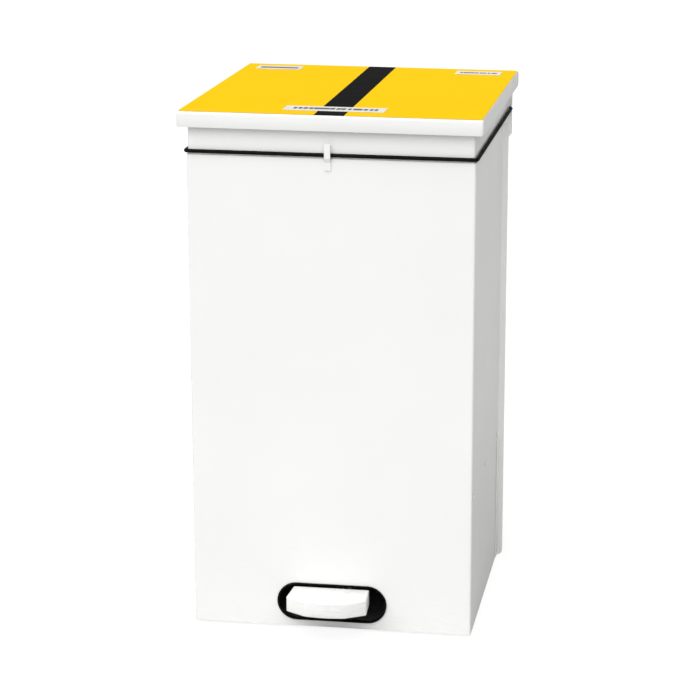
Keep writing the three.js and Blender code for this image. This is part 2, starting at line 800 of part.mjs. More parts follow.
// ---- Push rod with its two slotted forks and lock nuts -------------------------------------------

const forkDepth = 22;
const forkTip = 9; // fork beyond the pin
const forkFloor = 17; // bottom of the slot, from the pin
const forkEnd = 29; // rod end of the fork, from the pin
const rodGrip = 8; // rod inside a fork
const nutHeight = 6;

// Stands on the rod with its slot upwards and the pin's long hole at the origin.
function rodFork(slotWidth, swing) {
  const half = forkWidth / 2;
  const holeZ = pinDiameter / 2 + forkPlay;
  const holeY = holeZ + swing / 2;
  const longHole = roundedRectangle(-holeY, holeY, -holeZ, holeZ, holeZ - 0.01);
  return cut(
    block(-half, half, -forkDepth / 2, forkDepth / 2, -forkEnd, forkTip),
    block(-slotWidth / 2, slotWidth / 2, -forkDepth, forkDepth, -forkFloor, forkTip + 1),
    extrudeAcross(longHole, -half - 1, half + 1),
    rodAlongZ(rodRadius + gap, -forkEnd - 1, -forkEnd + rodGrip + gap, 0, 0),
  );
}

function lockNut() {
  return cut(
    rodAlongZ(7, 0, nutHeight, 0, rodY, 6),
    rodAlongZ(rodRadius + gap, -1, nutHeight + 1, 0, rodY),
  );
}

const slotPlay = 0.8;
add('rod_fork_upper', rodFork(barSteel + 2 * slotPlay, crankSwing), zinc)
  .position.set(0, rodY, crankPinZ);
const lowerFork = add('rod_fork_lower', rodFork(armThickness + 2 * slotPlay, armSwing), zinc);
lowerFork.position.set(0, rodY, armPinZ);
lowerFork.rotation.set(Math.PI, 0, 0);
const rodBottom = armPinZ + forkEnd - rodGrip;
const rodTop = crankPinZ - forkEnd + rodGrip;
add('push_rod', rodAlongZ(rodRadius, rodBottom, rodTop, 0, rodY), zinc);
add('lock_nut_lower', lockNut(), zinc).position.set(0, 0, armPinZ + forkEnd + gap);
add('lock_nut_upper', lockNut(), zinc).position.set(0, 0, crankPinZ - forkEnd - gap - nutHeight);

// ---- Removable body: shell, edging, band keeper, runners and rivets ------------------------------

const rivetPitch = (bodyDepth - rivetRear - rivetFront) / 2;
const rivetPlaces = [0, 1, 2].map((i) => rivetFront + i * rivetPitch);

function stadium(grow) {
  const halfW = apertureWidth / 2 + grow;
  const halfH = apertureHeight / 2 + grow;
  return roundedRectangle(-halfW, halfW, apertureMiddle - halfH, apertureMiddle + halfH,
    halfH - 0.01);
}

function bodyShell() {
  const flangeFront = bodyDepth - sheet;
  const section = foldedSheet([
    [-halfBody - flangeOut, flangeFront],
    [-halfBody, flangeFront],
    [-halfBody, 0],
    [halfBody, 0],
    [halfBody, flangeFront],
    [halfBody + flangeOut, flangeFront],
  ], sheet);
  const cutter = extrudeBack(cornerWaste(flangeCorner), flangeFront - sheet, bodyDepth + 1)
    .translate(halfBody + flangeOut, 0, bodyBottom);
  const holes = rivetPlaces.map((y) => (
    rodAlongX(rivetShank + gap, -halfBody - 1, halfBody + 1, y, railHeight, 16)));
  return cut(extrudeUp(section, bodyBottom, bodyTop), extrudeBack(stadium(0), -1, 5),
    cutter, mirrored(cutter, -1), ...holes);
}

function apertureEdging() {
  const lipFront = -gap - edgingLip;
  const lipRear = sheet + gap + edgingLip;
  return cut(
    extrudeBack(stadium(edgingLap), lipFront, lipRear),
    extrudeBack(stadium(-edgingWall), lipFront - 1, lipRear + 1),
    cut(extrudeBack(stadium(edgingLap + 1), -gap, sheet + gap),
      extrudeBack(stadium(-gap), -gap - 1, sheet + gap + 1)),
  );
}

const keeper = { left: -7, right: 1, top: 15.5, joggleTop: -4, joggleFoot: -9.5, bottom: -20 };

function bandKeeper() {
  const outer = bandFront - bandRadius - gap - sheet;
  const foot = -gap - sheet;
  const section = foldedSheet([
    [outer, bandHeight + keeper.top],
    [outer, bandHeight + keeper.joggleTop],
    [foot, bandHeight + keeper.joggleFoot],
    [foot, bandHeight + keeper.bottom],
  ], sheet, smallBend);
  return extrudeAcross(section, keeper.left, keeper.right);
}

function runner() {
  const outer = halfBody - sheet - gap;
  const top = railHeight + railDepth / 2 + gap + sheet;
  const inner = halfPanel - sheet - gap - railWidth + 1;
  const section = foldedSheet([
    [outer, railHeight - railDepth / 2],
    [outer, top],
    [inner, top],
  ], sheet, smallBend);
  return cut(
    extrudeBack(section, collarFront + 4, bodyDepth - runnerShort),
    ...rivetPlaces.map((y) => (
      rodAlongX(rivetShank + gap, outer - 3, outer + 1, y, railHeight, 16))),
  );
}

// Its axis is X: the head is outside the shell and the tail inside the runner.
function bodyRivet() {
  const tail = -2 * (sheet + gap);
  return turned([
    [0, tail - 1.3],
    [rivetHead - 1, tail - 1.3],
    [rivetHead - 1, tail],
    [rivetShank, tail],
    [rivetShank, gap],
    [rivetHead, gap],
    [rivetHead - 0.4, gap + 0.9],
    [rivetHead - 1.8, gap + 1.5],
    [0, gap + 1.7],
  ], 16).rotateY(Math.PI / 2);
}

add('body_shell', bodyShell(), paint);
add('aperture_edging', apertureEdging(), blackRubber);
add('band_keeper', bandKeeper(), paint);
for (const [name, side] of sides) {
  add(`runner_${name}`, mirrored(runner(), side), zinc);
  const doubler = block(halfBody + gap, halfBody + gap + doublerSheet,
    bodyDepth - doublerFront, bodyDepth - doublerRear, bodyBottom + 3, railHeight - 12);
  add(`rear_doubler_${name}`, mirrored(doubler, side), paint);
  rivetPlaces.forEach((y, i) => {
    const rivet = add(`body_rivet_${name}_${i + 1}`, mirrored(bodyRivet(), side), paint);
    rivet.position.set(side * halfBody, y, railHeight);
  });
}

// The origin is on the floor, in the middle of the whole bin.
bin.position.set(0, (padReach - lidRear) / 2, 0);

export default bin;
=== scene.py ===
import math

import bmesh
import bpy
from mathutils import Matrix, Vector


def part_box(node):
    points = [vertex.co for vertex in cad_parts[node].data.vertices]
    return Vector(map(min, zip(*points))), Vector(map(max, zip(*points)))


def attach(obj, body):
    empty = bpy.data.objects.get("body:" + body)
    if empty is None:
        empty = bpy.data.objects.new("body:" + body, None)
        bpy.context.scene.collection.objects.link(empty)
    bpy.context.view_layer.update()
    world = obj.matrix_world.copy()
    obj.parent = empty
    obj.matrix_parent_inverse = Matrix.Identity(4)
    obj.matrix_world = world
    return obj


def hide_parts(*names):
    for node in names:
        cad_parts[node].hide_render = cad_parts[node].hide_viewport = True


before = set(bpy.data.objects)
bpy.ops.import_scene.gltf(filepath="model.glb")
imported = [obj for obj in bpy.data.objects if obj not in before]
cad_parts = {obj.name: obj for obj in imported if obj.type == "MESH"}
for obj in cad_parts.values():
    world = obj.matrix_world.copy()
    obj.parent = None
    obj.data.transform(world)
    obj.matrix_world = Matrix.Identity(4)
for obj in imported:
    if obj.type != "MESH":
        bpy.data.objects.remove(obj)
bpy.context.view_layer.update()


# ---- Camera ----
# A long lens three metres in front of the bin, a little to its right and above its lid. It
# leans by half a degree, and its shift puts the bin in the middle of the frame.
scene = bpy.context.scene
eye = Vector((0.50905, -2.95911, 1.15633))
aim = Vector((0.141, -0.026, 0.3771))
roll = math.radians(0.586)
forward = (aim - eye).normalized()
level = forward.cross(Vector((0, 0, 1))).normalized()
upright = level.cross(forward)
across = level * math.cos(roll) + upright * math.sin(roll)
upwards = upright * math.cos(roll) - level * math.sin(roll)

lens = bpy.data.cameras.new("camera")
lens.lens = 116.99
lens.sensor_width = 36
lens.shift_x = -0.15
lens.shift_y = -0.0286
camera = bpy.data.objects.new("camera", lens)
turned = Matrix((across, upwards, -forward)).transposed().to_4x4()
camera.matrix_world = Matrix.Translation(eye) @ turned
scene.collection.objects.link(camera)
scene.camera = camera


# ---- Studio ----
# A wide white floor under one broad soft light from the front left, and an even pale surround
# that is brighter overhead. The floor and the surround look plain white to the camera.
def wired(tree, *pairs):
    """Links each output to its input."""
    for start, end in pairs:
        tree.links.new(start, end)


mm = 0.001  # a millimetre, in metres
scene.view_settings.view_transform = "Standard"
floor_mesh = bpy.data.meshes.new("studio_floor")
floor_half = 60
floor_drop = 0.3 * mm
floor_corners = [(x * floor_half, y * floor_half, -floor_drop)
                 for x, y in ((-1, -1), (1, -1), (1, 1), (-1, 1))]
floor_mesh.from_pydata(floor_corners, [], [(0, 1, 2, 3)])
studio_floor = bpy.data.objects.new("studio_floor", floor_mesh)
scene.collection.objects.link(studio_floor)

floor_white = bpy.data.materials.new("studio_floor")
floor_white.use_nodes = True
floor_nodes = floor_white.node_tree.nodes
floor_shader = floor_nodes["Principled BSDF"]
floor_shader.inputs["Base Color"].default_value = (0.62, 0.62, 0.61, 1)
floor_shader.inputs["Roughness"].default_value = 0.9
floor_shader.inputs["Specular IOR Level"].default_value = 0.1
floor_glow = floor_nodes.new("ShaderNodeEmission")
floor_glow.inputs["Strength"].default_value = 1.22
floor_seen = floor_nodes.new("ShaderNodeLightPath")
floor_share = floor_nodes.new("ShaderNodeMath")
floor_share.operation = "MULTIPLY"
floor_share.inputs[1].default_value = 0.72
floor_mix = floor_nodes.new("ShaderNodeMixShader")
wired(floor_white.node_tree,
      (floor_seen.outputs["Is Camera Ray"], floor_share.inputs[0]),
      (floor_share.outputs[0], floor_mix.inputs["Fac"]),
      (floor_shader.outputs["BSDF"], floor_mix.inputs[1]),
      (floor_glow.outputs["Emission"], floor_mix.inputs[2]),
      (floor_mix.outputs["Shader"], floor_nodes["Material Output"].inputs["Surface"]))
floor_mesh.materials.append(floor_white)

surround = bpy.data.worlds.new("surround")
surround.use_nodes = True
air = surround.node_tree
air_way = air.nodes.new("ShaderNodeTexCoord")
air_split = air.nodes.new("ShaderNodeSeparateXYZ")
air_rise = air.nodes.new("ShaderNodeMapRange")
air_rise.inputs["From Min"].default_value = 0.1
air_rise.inputs["From Max"].default_value = 0.8
air_rise.inputs["To Min"].default_value = 0.19
air_rise.inputs["To Max"].default_value = 0.62
air_seen = air.nodes.new("ShaderNodeLightPath")
air_pick = air.nodes.new("ShaderNodeMix")
air_pick.inputs["B"].default_value = 1.05
wired(air,
      (air_way.outputs["Generated"], air_split.inputs["Vector"]),
      (air_split.outputs["Z"], air_rise.inputs["Value"]),
      (air_seen.outputs["Is Camera Ray"], air_pick.inputs["Factor"]),
      (air_rise.outputs["Result"], air_pick.inputs["A"]),
      (air_pick.outputs["Result"], air.nodes["Background"].inputs["Strength"]))
air.nodes["Background"].inputs["Color"].default_value = (1, 1, 1, 1)
scene.world = surround

soft_light = bpy.data.lights.new("soft_light", "SUN")
soft_light.energy = 2.74
soft_light.color = (1, 1, 0.996)
soft_light.angle = math.radians(76)
soft_lamp = bpy.data.objects.new("soft_light", soft_light)
soft_lamp.rotation_euler = Vector((-0.16, -0.66, 0.73)).to_track_quat("Z", "Y").to_euler()
scene.collection.objects.link(soft_lamp)


# ---- Base tray and sack platform ----
# A shallow channel of 1.5 mm steel that carries the feet, with a folded platform standing in it
# for the bottom of the sack. Both are bent on a press brake and zinc plated, their surface dulled
# by use; their zinc is coloured dark as painted shade for the inside seen through the pedal slot.
def merged_copy(node):
    """A copy of a piece's measured shape, with its flat faces made whole."""
    shape = bmesh.new()
    shape.from_mesh(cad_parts[node].data)
    bmesh.ops.remove_doubles(shape, verts=shape.verts, dist=0.002 * mm)
    bmesh.ops.dissolve_limit(shape, angle_limit=math.radians(0.5), verts=shape.verts,
                             edges=shape.edges)
    return as_object(f"{node}_piece", shape)


def as_object(name, shape):
    """A new object with this shape as its mesh."""
    mesh = bpy.data.meshes.new(name)
    shape.to_mesh(mesh)
    shape.free()
    made = bpy.data.objects.new(name, mesh)
    scene.collection.objects.link(made)
    return made


def settled(made):
    """Turns the live modifiers of an object into its plain mesh."""
    graph = bpy.context.evaluated_depsgraph_get()
    plain = bpy.data.meshes.new_from_object(made.evaluated_get(graph), depsgraph=graph,
                                            preserve_all_data_layers=True)
    plain.name = made.name
    made.modifiers.clear()
    made.data = plain
    return made


def eased(made, radius, segments=2):
    """Rounds every sharp edge a little, as deburring and paint do."""
    made.data.shade_smooth()
    bevel = made.modifiers.new("eased", "BEVEL")
    bevel.width = radius
    bevel.segments = segments
    bevel.limit_method = "ANGLE"
    bevel.angle_limit = math.radians(36)
    bevel.use_clamp_overlap = False
    bevel.harden_normals = True
    return settled(made)


def fitted(made, body, finish, coating, *nodes):
    """Gives a finished piece its material and its place among the moving bodies."""
    made.data.materials.clear()
    made.data.materials.append(finish)
    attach(made, body)
    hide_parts(*nodes)
    return made


def carried(node, body, finish, coating, radius, segments=2):
    """Fits a piece that keeps its measured shape, with its edges rounded."""
    made = eased(merged_copy(node), radius, segments)
    return fitted(made, body, finish, coating, node)


def effect(name, inputs, output):
    """A shader group with named values in and one out, and its inner input and output nodes."""
    group = bpy.data.node_groups.new(name, "ShaderNodeTree")
    kind = "NodeSocketFloat"
    for label, value in inputs.items():
        group.interface.new_socket(label, in_out="INPUT", socket_type=kind).default_value = value
    group.interface.new_socket(output, in_out="OUTPUT", socket_type=kind)
    return group, group.nodes.new("NodeGroupInput"), group.nodes.new("NodeGroupOutput")


def noise(tree, coordinates, scale, detail, roughness=0.5, stretch=(1, 1, 1)):
    """A noise texture on the object's own coordinates, drawn out along the stretch."""
    place = tree.nodes.new("ShaderNodeMapping")
    place.inputs["Scale"].default_value = stretch
    tree.links.new(coordinates, place.inputs["Vector"])
    texture = tree.nodes.new("ShaderNodeTexNoise")
    texture.inputs["Scale"].default_value = scale
    texture.inputs["Detail"].default_value = detail
    texture.inputs["Roughness"].default_value = roughness
    tree.links.new(place.outputs["Vector"], texture.inputs["Vector"])
    return texture.outputs["Fac"]


def computed(tree, operation, first, second):
    """A math node on two sockets or numbers."""
    node = tree.nodes.new("ShaderNodeMath")
    node.operation = operation
    for socket, value in zip(node.inputs, (first, second)):
        if isinstance(value, (int, float)):
            socket.default_value = value
        else:
            tree.links.new(value, socket)
    return node.outputs[0]


def ranged(tree, value, low, high, start=0.0, end=1.0):
    """A value's range, stretched to another range and held at its ends."""
    node = tree.nodes.new("ShaderNodeMapRange")
    limits = (("From Min", low), ("From Max", high), ("To Min", start), ("To Max", end))
    for label, number in limits:
        if isinstance(number, (int, float)):
            node.inputs[label].default_value = number
        else:
            tree.links.new(number, node.inputs[label])
    tree.links.new(value, node.inputs["Value"])
    return node.outputs["Result"]


def blended(tree, share, first, second):
    """A colour between two colours or colour sockets."""
    node = tree.nodes.new("ShaderNodeMix")
    node.data_type = "RGBA"
    tree.links.new(share, node.inputs["Factor"])
    colour_sockets = [socket for socket in node.inputs if socket.type == "RGBA"]
    for socket, value in zip(colour_sockets, (first, second)):
        if isinstance(value, tuple):
            socket.default_value = value
        else:
            tree.links.new(value, socket)
    return next(socket for socket in node.outputs if socket.type == "RGBA")


# Where a coating is rubbed: along edges, broken up by noise. On zinc the same edge mask also
# carries a painted highlight.
worn_edge, edge_mask_in, edge_mask_out = effect(
    "worn_edge", {"Width": 0.6 * mm, "Patch Size": 90.0, "Amount": 0.5}, "Mask")
rounded = worn_edge.nodes.new("ShaderNodeBevel")
rounded.samples = 6
worn_edge.links.new(edge_mask_in.outputs["Width"], rounded.inputs["Radius"])
true_face = worn_edge.nodes.new("ShaderNodeNewGeometry")
turn = worn_edge.nodes.new("ShaderNodeVectorMath")
turn.operation = "DOT_PRODUCT"
wired(worn_edge,
      (rounded.outputs["Normal"], turn.inputs[0]),
      (true_face.outputs["Normal"], turn.inputs[1]))
at_edge = ranged(worn_edge, turn.outputs["Value"], 0.985, 0.87)
edge_mask_place = worn_edge.nodes.new("ShaderNodeTexCoord")
edge_mask_noise = worn_edge.nodes.new("ShaderNodeTexNoise")
edge_mask_noise.inputs["Detail"].default_value = 5
edge_mask_noise.inputs["Roughness"].default_value = 0.65
wired(worn_edge,
      (edge_mask_place.outputs["Object"], edge_mask_noise.inputs["Vector"]),
      (edge_mask_in.outputs["Patch Size"], edge_mask_noise.inputs["Scale"]))
edge_mask_patch = ranged(worn_edge, edge_mask_noise.outputs["Fac"], 0.42, 0.68)
edge_mask_share = computed(worn_edge, "MULTIPLY", at_edge, edge_mask_patch)
worn_edge.links.new(computed(worn_edge, "MULTIPLY", edge_mask_share, edge_mask_in.outputs["Amount"]),
                    edge_mask_out.inputs["Mask"])


def new_finish(name):
    """A material with its shader, its node tree and the piece's own coordinates."""
    finish = bpy.data.materials.new(name)
    finish.use_nodes = True
    tree = finish.node_tree
    place = tree.nodes.new("ShaderNodeTexCoord")
    return finish, tree, tree.nodes["Principled BSDF"], place.outputs["Object"]


def placed(tree, group, values, output):
    """One use of a shader group, with its own values."""
    node = tree.nodes.new("ShaderNodeGroup")
    node.node_tree = group
    for label, value in values.items():
        node.inputs[label].default_value = value
    return node.outputs[output]


def embossed(tree, shader, height, depth):
    """Relief in a surface, from a height that varies over it."""
    bump = tree.nodes.new("ShaderNodeBump")
    bump.inputs["Distance"].default_value = depth
    tree.links.new(height, bump.inputs["Height"])
    tree.links.new(bump.outputs["Normal"], shader.inputs["Normal"])


def zinc_plate(name, light, shade, roughness=0.36):
    """Bright zinc plating: cloudy, faintly streaked by rolling, paler along its edges as rubbed
    plating and a painted highlight.
    """
    finish, tree, shader, place = new_finish(name)
    clouds = ranged(tree, noise(tree, place, 28, 5, 0.6), 0.3, 0.7)
    streaks = noise(tree, place, 90, 3, 0.6, (3, 0.15, 3))
    colour = blended(tree, clouds, light, shade)
    colour = blended(tree, ranged(tree, streaks, 0.5, 0.8, 0, 0.35), colour, (0.42, 0.43, 0.45, 1))
    # Paler zinc along the edges: partly rubbed plating, partly a painted highlight.
    rubbed = placed(tree, worn_edge, {"Amount": 0.7, "Patch Size": 160.0}, "Mask")
    colour = blended(tree, rubbed, colour, (0.86, 0.86, 0.87, 1))
    tree.links.new(colour, shader.inputs["Base Color"])
    shader.inputs["Metallic"].default_value = 1
    dull = ranged(tree, clouds, 0, 1, roughness - 0.07, roughness + 0.1)
    tree.links.new(dull, shader.inputs["Roughness"])
    embossed(tree, shader, streaks, 0.02 * mm)
    return finish


# Much darker than the other zinc parts: painted shade for the dark inside of the bin behind the
# pedal slot.
tray_zinc = zinc_plate("tray_zinc", (0.42, 0.425, 0.435, 1), (0.34, 0.345, 0.355, 1), 0.46)
for node in ("base_tray", "sack_platform"):
    carried(node, "frame", tray_zinc, "zinc_plated_steel", 0.3 * mm)


# ---- Rubber feet ----
# Four moulded rubber buttons with a ribbed edge, pushed through holes in the tray until a barb
# on the stem springs out above it.
def lathed(name, profile, sides=40, closed=False):
    """A turned shape about Z from (radius, height) points; a closed profile makes a ring."""
    shape = bmesh.new()
    rings = []
    for radius, height in profile:
        count = 1 if radius < 1e-7 else sides
        rings.append([shape.verts.new((radius * math.cos(2 * math.pi * i / sides),
                                       radius * math.sin(2 * math.pi * i / sides), height))
                      for i in range(count)])
    pairs = list(zip(rings, rings[1:]))
    if closed:
        pairs.append((rings[-1], rings[0]))
    for lower, upper in pairs:
        for i in range(sides):
            loop = [lower[i % len(lower)], lower[(i + 1) % len(lower)],
                    upper[(i + 1) % len(upper)], upper[i % len(upper)]]
            corners = list(dict.fromkeys(loop))
            if len(corners) > 2:
                shape.faces.new(corners)
    bmesh.ops.recalc_face_normals(shape, faces=shape.faces)
    return as_object(name, shape)


def creased(made, degrees):
    """Shades a piece smooth, apart from edges sharper than this."""
    made.data.shade_smooth()
    made.data.set_sharp_from_angle(angle=math.radians(degrees))
    return made


def geometry_tree(name, inputs):
    """An empty geometry tree with named inputs."""
    tree = bpy.data.node_groups.new(name, "GeometryNodeTree")
    tree.interface.new_socket("Geometry", in_out="INPUT", socket_type="NodeSocketGeometry")
    for label, kind in inputs.items():
        tree.interface.new_socket(label, in_out="INPUT", socket_type=kind)
    tree.interface.new_socket("Geometry", in_out="OUTPUT", socket_type="NodeSocketGeometry")
    return tree, tree.nodes.new("NodeGroupInput"), tree.nodes.new("NodeGroupOutput")


def finished_by(tree, geometry, finish, output):
    """Ends a geometry tree: real meshes, smooth faces and the material."""
    real = tree.nodes.new("GeometryNodeRealizeInstances")
    painted = tree.nodes.new("GeometryNodeSetMaterial")
    tree.links.new(geometry, real.inputs["Geometry"])
    tree.links.new(real.outputs["Geometry"], painted.inputs["Geometry"])
    tree.links.new(finish, painted.inputs["Material"])
    tree.links.new(painted.outputs["Geometry"], output.inputs["Geometry"])


def run_tree(made, tree, values):
    """Runs a geometry tree on an object with these inputs and keeps the plain mesh."""
    modifier = made.modifiers.new("made", "NODES")
    modifier.node_group = tree
    for item in tree.interface.items_tree:
        if item.in_out == "INPUT" and item.name in values:
            modifier[item.identifier] = values[item.name]
    return settled(made)


repeat_tree, repeat_in, repeat_out = geometry_tree(
    "repeat_on_places", {"Shape": "NodeSocketObject", "Material": "NodeSocketMaterial"})
shape_info = repeat_tree.nodes.new("GeometryNodeObjectInfo")
facing = repeat_tree.nodes.new("GeometryNodeInputNamedAttribute")
facing.data_type = "FLOAT_VECTOR"
facing.inputs["Name"].default_value = "facing"
turn_out = repeat_tree.nodes.new("FunctionNodeAlignRotationToVector")
turn_out.axis = "Z"
spread = repeat_tree.nodes.new("GeometryNodeInstanceOnPoints")
wired(repeat_tree,
      (repeat_in.outputs["Shape"], shape_info.inputs["Object"]),
      (facing.outputs["Attribute"], turn_out.inputs["Vector"]),
      (repeat_in.outputs["Geometry"], spread.inputs["Points"]),
      (shape_info.outputs["Geometry"], spread.inputs["Instance"]),
      (turn_out.outputs["Rotation"], spread.inputs["Rotation"]))
finished_by(repeat_tree, spread.outputs["Instances"], repeat_in.outputs["Material"], repeat_out)


def repeated(name, shape, places, finish):
    """Copies of a shape, each standing on a place and pointing its own way."""
    mesh = bpy.data.meshes.new(name)
    mesh.from_pydata([place for place, way in places], [], [])
    ways = mesh.attributes.new("facing", "FLOAT_VECTOR", "POINT")
    ways.data.foreach_set("vector", [part for place, way in places for part in way])
    made = bpy.data.objects.new(name, mesh)
    scene.collection.objects.link(made)
    run_tree(made, repeat_tree, {"Shape": shape, "Material": finish})
    bpy.data.objects.remove(shape)
    return made


def standing(nodes):
    """Where an upright copy stands for each node: the middle of its box's underside."""
    boxes = [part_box(node) for node in nodes]
    return [(((low.x + high.x) / 2, (low.y + high.y) / 2, low.z), (0, 0, 1)) for low, high in boxes]


# The skin of a coating: pebbled like orange peel, with a finer grain and broad waves under it.
orange_peel, peel_in, peel_out = effect(
    "orange_peel", {"Pebble Size": 420.0, "Grain Size": 1500.0, "Wave": 0.35}, "Height")
peel_place = orange_peel.nodes.new("ShaderNodeTexCoord")
pebbles = orange_peel.nodes.new("ShaderNodeTexNoise")
pebbles.inputs["Detail"].default_value = 1.5
grain = orange_peel.nodes.new("ShaderNodeTexNoise")
grain.inputs["Detail"].default_value = 2
for texture, label in ((pebbles, "Pebble Size"), (grain, "Grain Size")):
    wired(orange_peel,
          (peel_place.outputs["Object"], texture.inputs["Vector"]),
          (peel_in.outputs[label], texture.inputs["Scale"]))
slow_wave = noise(orange_peel, peel_place.outputs["Object"], 7, 1)
fine = computed(orange_peel, "MULTIPLY", grain.outputs["Fac"], 0.3)
skin = computed(orange_peel, "ADD", pebbles.outputs["Fac"], fine)
wave = computed(orange_peel, "MULTIPLY", slow_wave, peel_in.outputs["Wave"])
orange_peel.links.new(computed(orange_peel, "ADD", skin, wave), peel_out.inputs["Height"])


def rubber(name, dark, dusty, roughness):
    """Black rubber: matt, finely grained, paler where dust and handling have dulled it."""
    finish, tree, shader, place = new_finish(name)
    dust = ranged(tree, noise(tree, place, 35, 5, 0.6), 0.45, 0.75)
    colour = blended(tree, dust, dark, dusty)
    rubbed = placed(tree, worn_edge, {"Amount": 0.6, "Patch Size": 140.0}, "Mask")
    colour = blended(tree, rubbed, colour, (0.03, 0.029, 0.028, 1))
    tree.links.new(colour, shader.inputs["Base Color"])
    tree.links.new(ranged(tree, noise(tree, place, 120, 3), 0.3, 0.7, roughness - 0.08,
                          roughness + 0.1), shader.inputs["Roughness"])
    shader.inputs["Specular IOR Level"].default_value = 0.05
    embossed(tree, shader, placed(tree, orange_peel, {
        "Pebble Size": 1400.0, "Grain Size": 3500.0, "Wave": 0.0}, "Height"), 0.02 * mm)
    return finish


foot_names = [f"foot_{end}_{side}" for end in ("front", "rear") for side in ("left", "right")]
foot_low, foot_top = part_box(foot_names[0])
foot_high = foot_top.z
foot_radius = (foot_top.x - foot_low.x) / 2
foot_profile = [(0, 0.8 * mm), (foot_radius - 7 * mm, 0.8 * mm), (foot_radius - 6 * mm, 0),
                (foot_radius - 2 * mm, 0), (foot_radius - 0.6 * mm, 0.5 * mm),
                (foot_radius, 1.6 * mm)]
for rib in range(3):
    rib_low = (2.2 + 1.8 * rib) * mm
    foot_profile += [(foot_radius, rib_low), (foot_radius - 0.5 * mm, rib_low + 0.3 * mm),
                     (foot_radius - 0.5 * mm, rib_low + 0.7 * mm), (foot_radius, rib_low + mm)]
foot_profile += [(foot_radius - 0.5 * mm, 7.7 * mm), (4.5 * mm, 7.7 * mm), (4.5 * mm, 9.8 * mm),
                 (6.3 * mm, 10.8 * mm), (6.5 * mm, 11.4 * mm), (3.4 * mm, foot_high - 0.6 * mm),
                 (2.6 * mm, foot_high), (0, foot_high)]
foot_shape = lathed("foot_shape", foot_profile)
creased(foot_shape, 50)
foot_rubber = rubber("foot_rubber", (0.016, 0.016, 0.017, 1), (0.035, 0.034, 0.033, 1), 0.7)
feet = repeated("rubber_feet", foot_shape, standing(foot_names), foot_rubber)
fitted(feet, "frame", foot_rubber, "black_rubber", *foot_names)


# ---- Back channel, inner panel ----
# The spine of the frame: a full-height folded channel with a plain panel in front of the push
# rod, both powder coated. They're spot welded to the collar and the tray.

# Fine rubbing marks and settled dust, strongest low down where shoes and mops reach.
handling, handled_in, handled_out = effect(
    "handling_marks", {"Reach": 0.22, "Strength": 0.5}, "Mask")
handled_place = handling.nodes.new("ShaderNodeTexCoord")
height_split = handling.nodes.new("ShaderNodeSeparateXYZ")
handling.links.new(handled_place.outputs["Object"], height_split.inputs["Vector"])
low_down = ranged(handling, height_split.outputs["Z"], handled_in.outputs["Reach"], 0)
streaks = noise(handling, handled_place.outputs["Object"], 260, 5, 0.7, (0.25, 0.25, 1.6))
cloud = noise(handling, handled_place.outputs["Object"], 14, 3)
marks = computed(handling, "MULTIPLY", ranged(handling, streaks, 0.45, 0.85),
                 ranged(handling, cloud, 0.35, 0.75))
marks = computed(handling, "MULTIPLY", marks, low_down)
handling.links.new(computed(handling, "MULTIPLY", marks, handled_in.outputs["Strength"]),
                   handled_out.inputs["Mask"])


def powder_coat(name, light, shade, marks=0.4, wear=0.35):
    """White polyester powder coat on steel, with the steel showing where an edge is rubbed."""
    finish, tree, shader, place = new_finish(name)
    tone = ranged(tree, noise(tree, place, 5, 3), 0.3, 0.7)
    colour = blended(tree, tone, light, shade)
    soiled = placed(tree, handling, {"Strength": marks}, "Mask")
    colour = blended(tree, soiled, colour, (0.5, 0.49, 0.47, 1))
    rubbed = placed(tree, worn_edge, {"Amount": wear}, "Mask")
    colour = blended(tree, rubbed, colour, (0.3, 0.3, 0.31, 1))
    tree.links.new(colour, shader.inputs["Base Color"])
    gloss = ranged(tree, noise(tree, place, 24, 4), 0.3, 0.7, 0.3, 0.38)
    gloss = computed(tree, "ADD", gloss, computed(tree, "MULTIPLY", soiled, 0.3))
    tree.links.new(gloss, shader.inputs["Roughness"])
    embossed(tree, shader, placed(tree, orange_peel, {}, "Height"), 0.03 * mm)
    return finish


frame_coat = powder_coat("frame_powder_coat", (0.80, 0.80, 0.79, 1), (0.76, 0.76, 0.755, 1), 0.6)
for node in ("back_panel", "inner_panel"):
    carried(node, "frame", frame_coat, "white_painted_steel", 0.3 * mm)


# ---- Rails for the removable body ----
# Two small channels of folded, zinc-plated steel, welded along the inside of the frame. The body's
# runners slide on them and keep it from tipping as it's drawn off.
rail_zinc = zinc_plate("rail_zinc", (0.72, 0.73, 0.75, 1), (0.60, 0.61, 0.63, 1))
for node in ("side_rail_left", "side_rail_right"):
    carried(node, "frame", rail_zinc, "zinc_plated_steel", 0.25 * mm)


# ---- Collar and its rear wall ----
# The folded sheet frame round the sack's mouth: three walls with a turned-in lip, a separate rear
# wall, and outward flanges at the back. It's powder coated and the rubber band grips round it.
# A lighter white than the body's coat: painted light, making up for the shade under the lid's
# overhang.
collar_coat_painted_light = powder_coat("collar_powder_coat", (0.87, 0.87, 0.862, 1), (0.85, 0.85, 0.843, 1),
                          0.15, 0.3)
for node in ("collar", "collar_rear_wall"):
    carried(node, "frame", collar_coat_painted_light, "white_painted_steel", 0.35 * mm, 3)


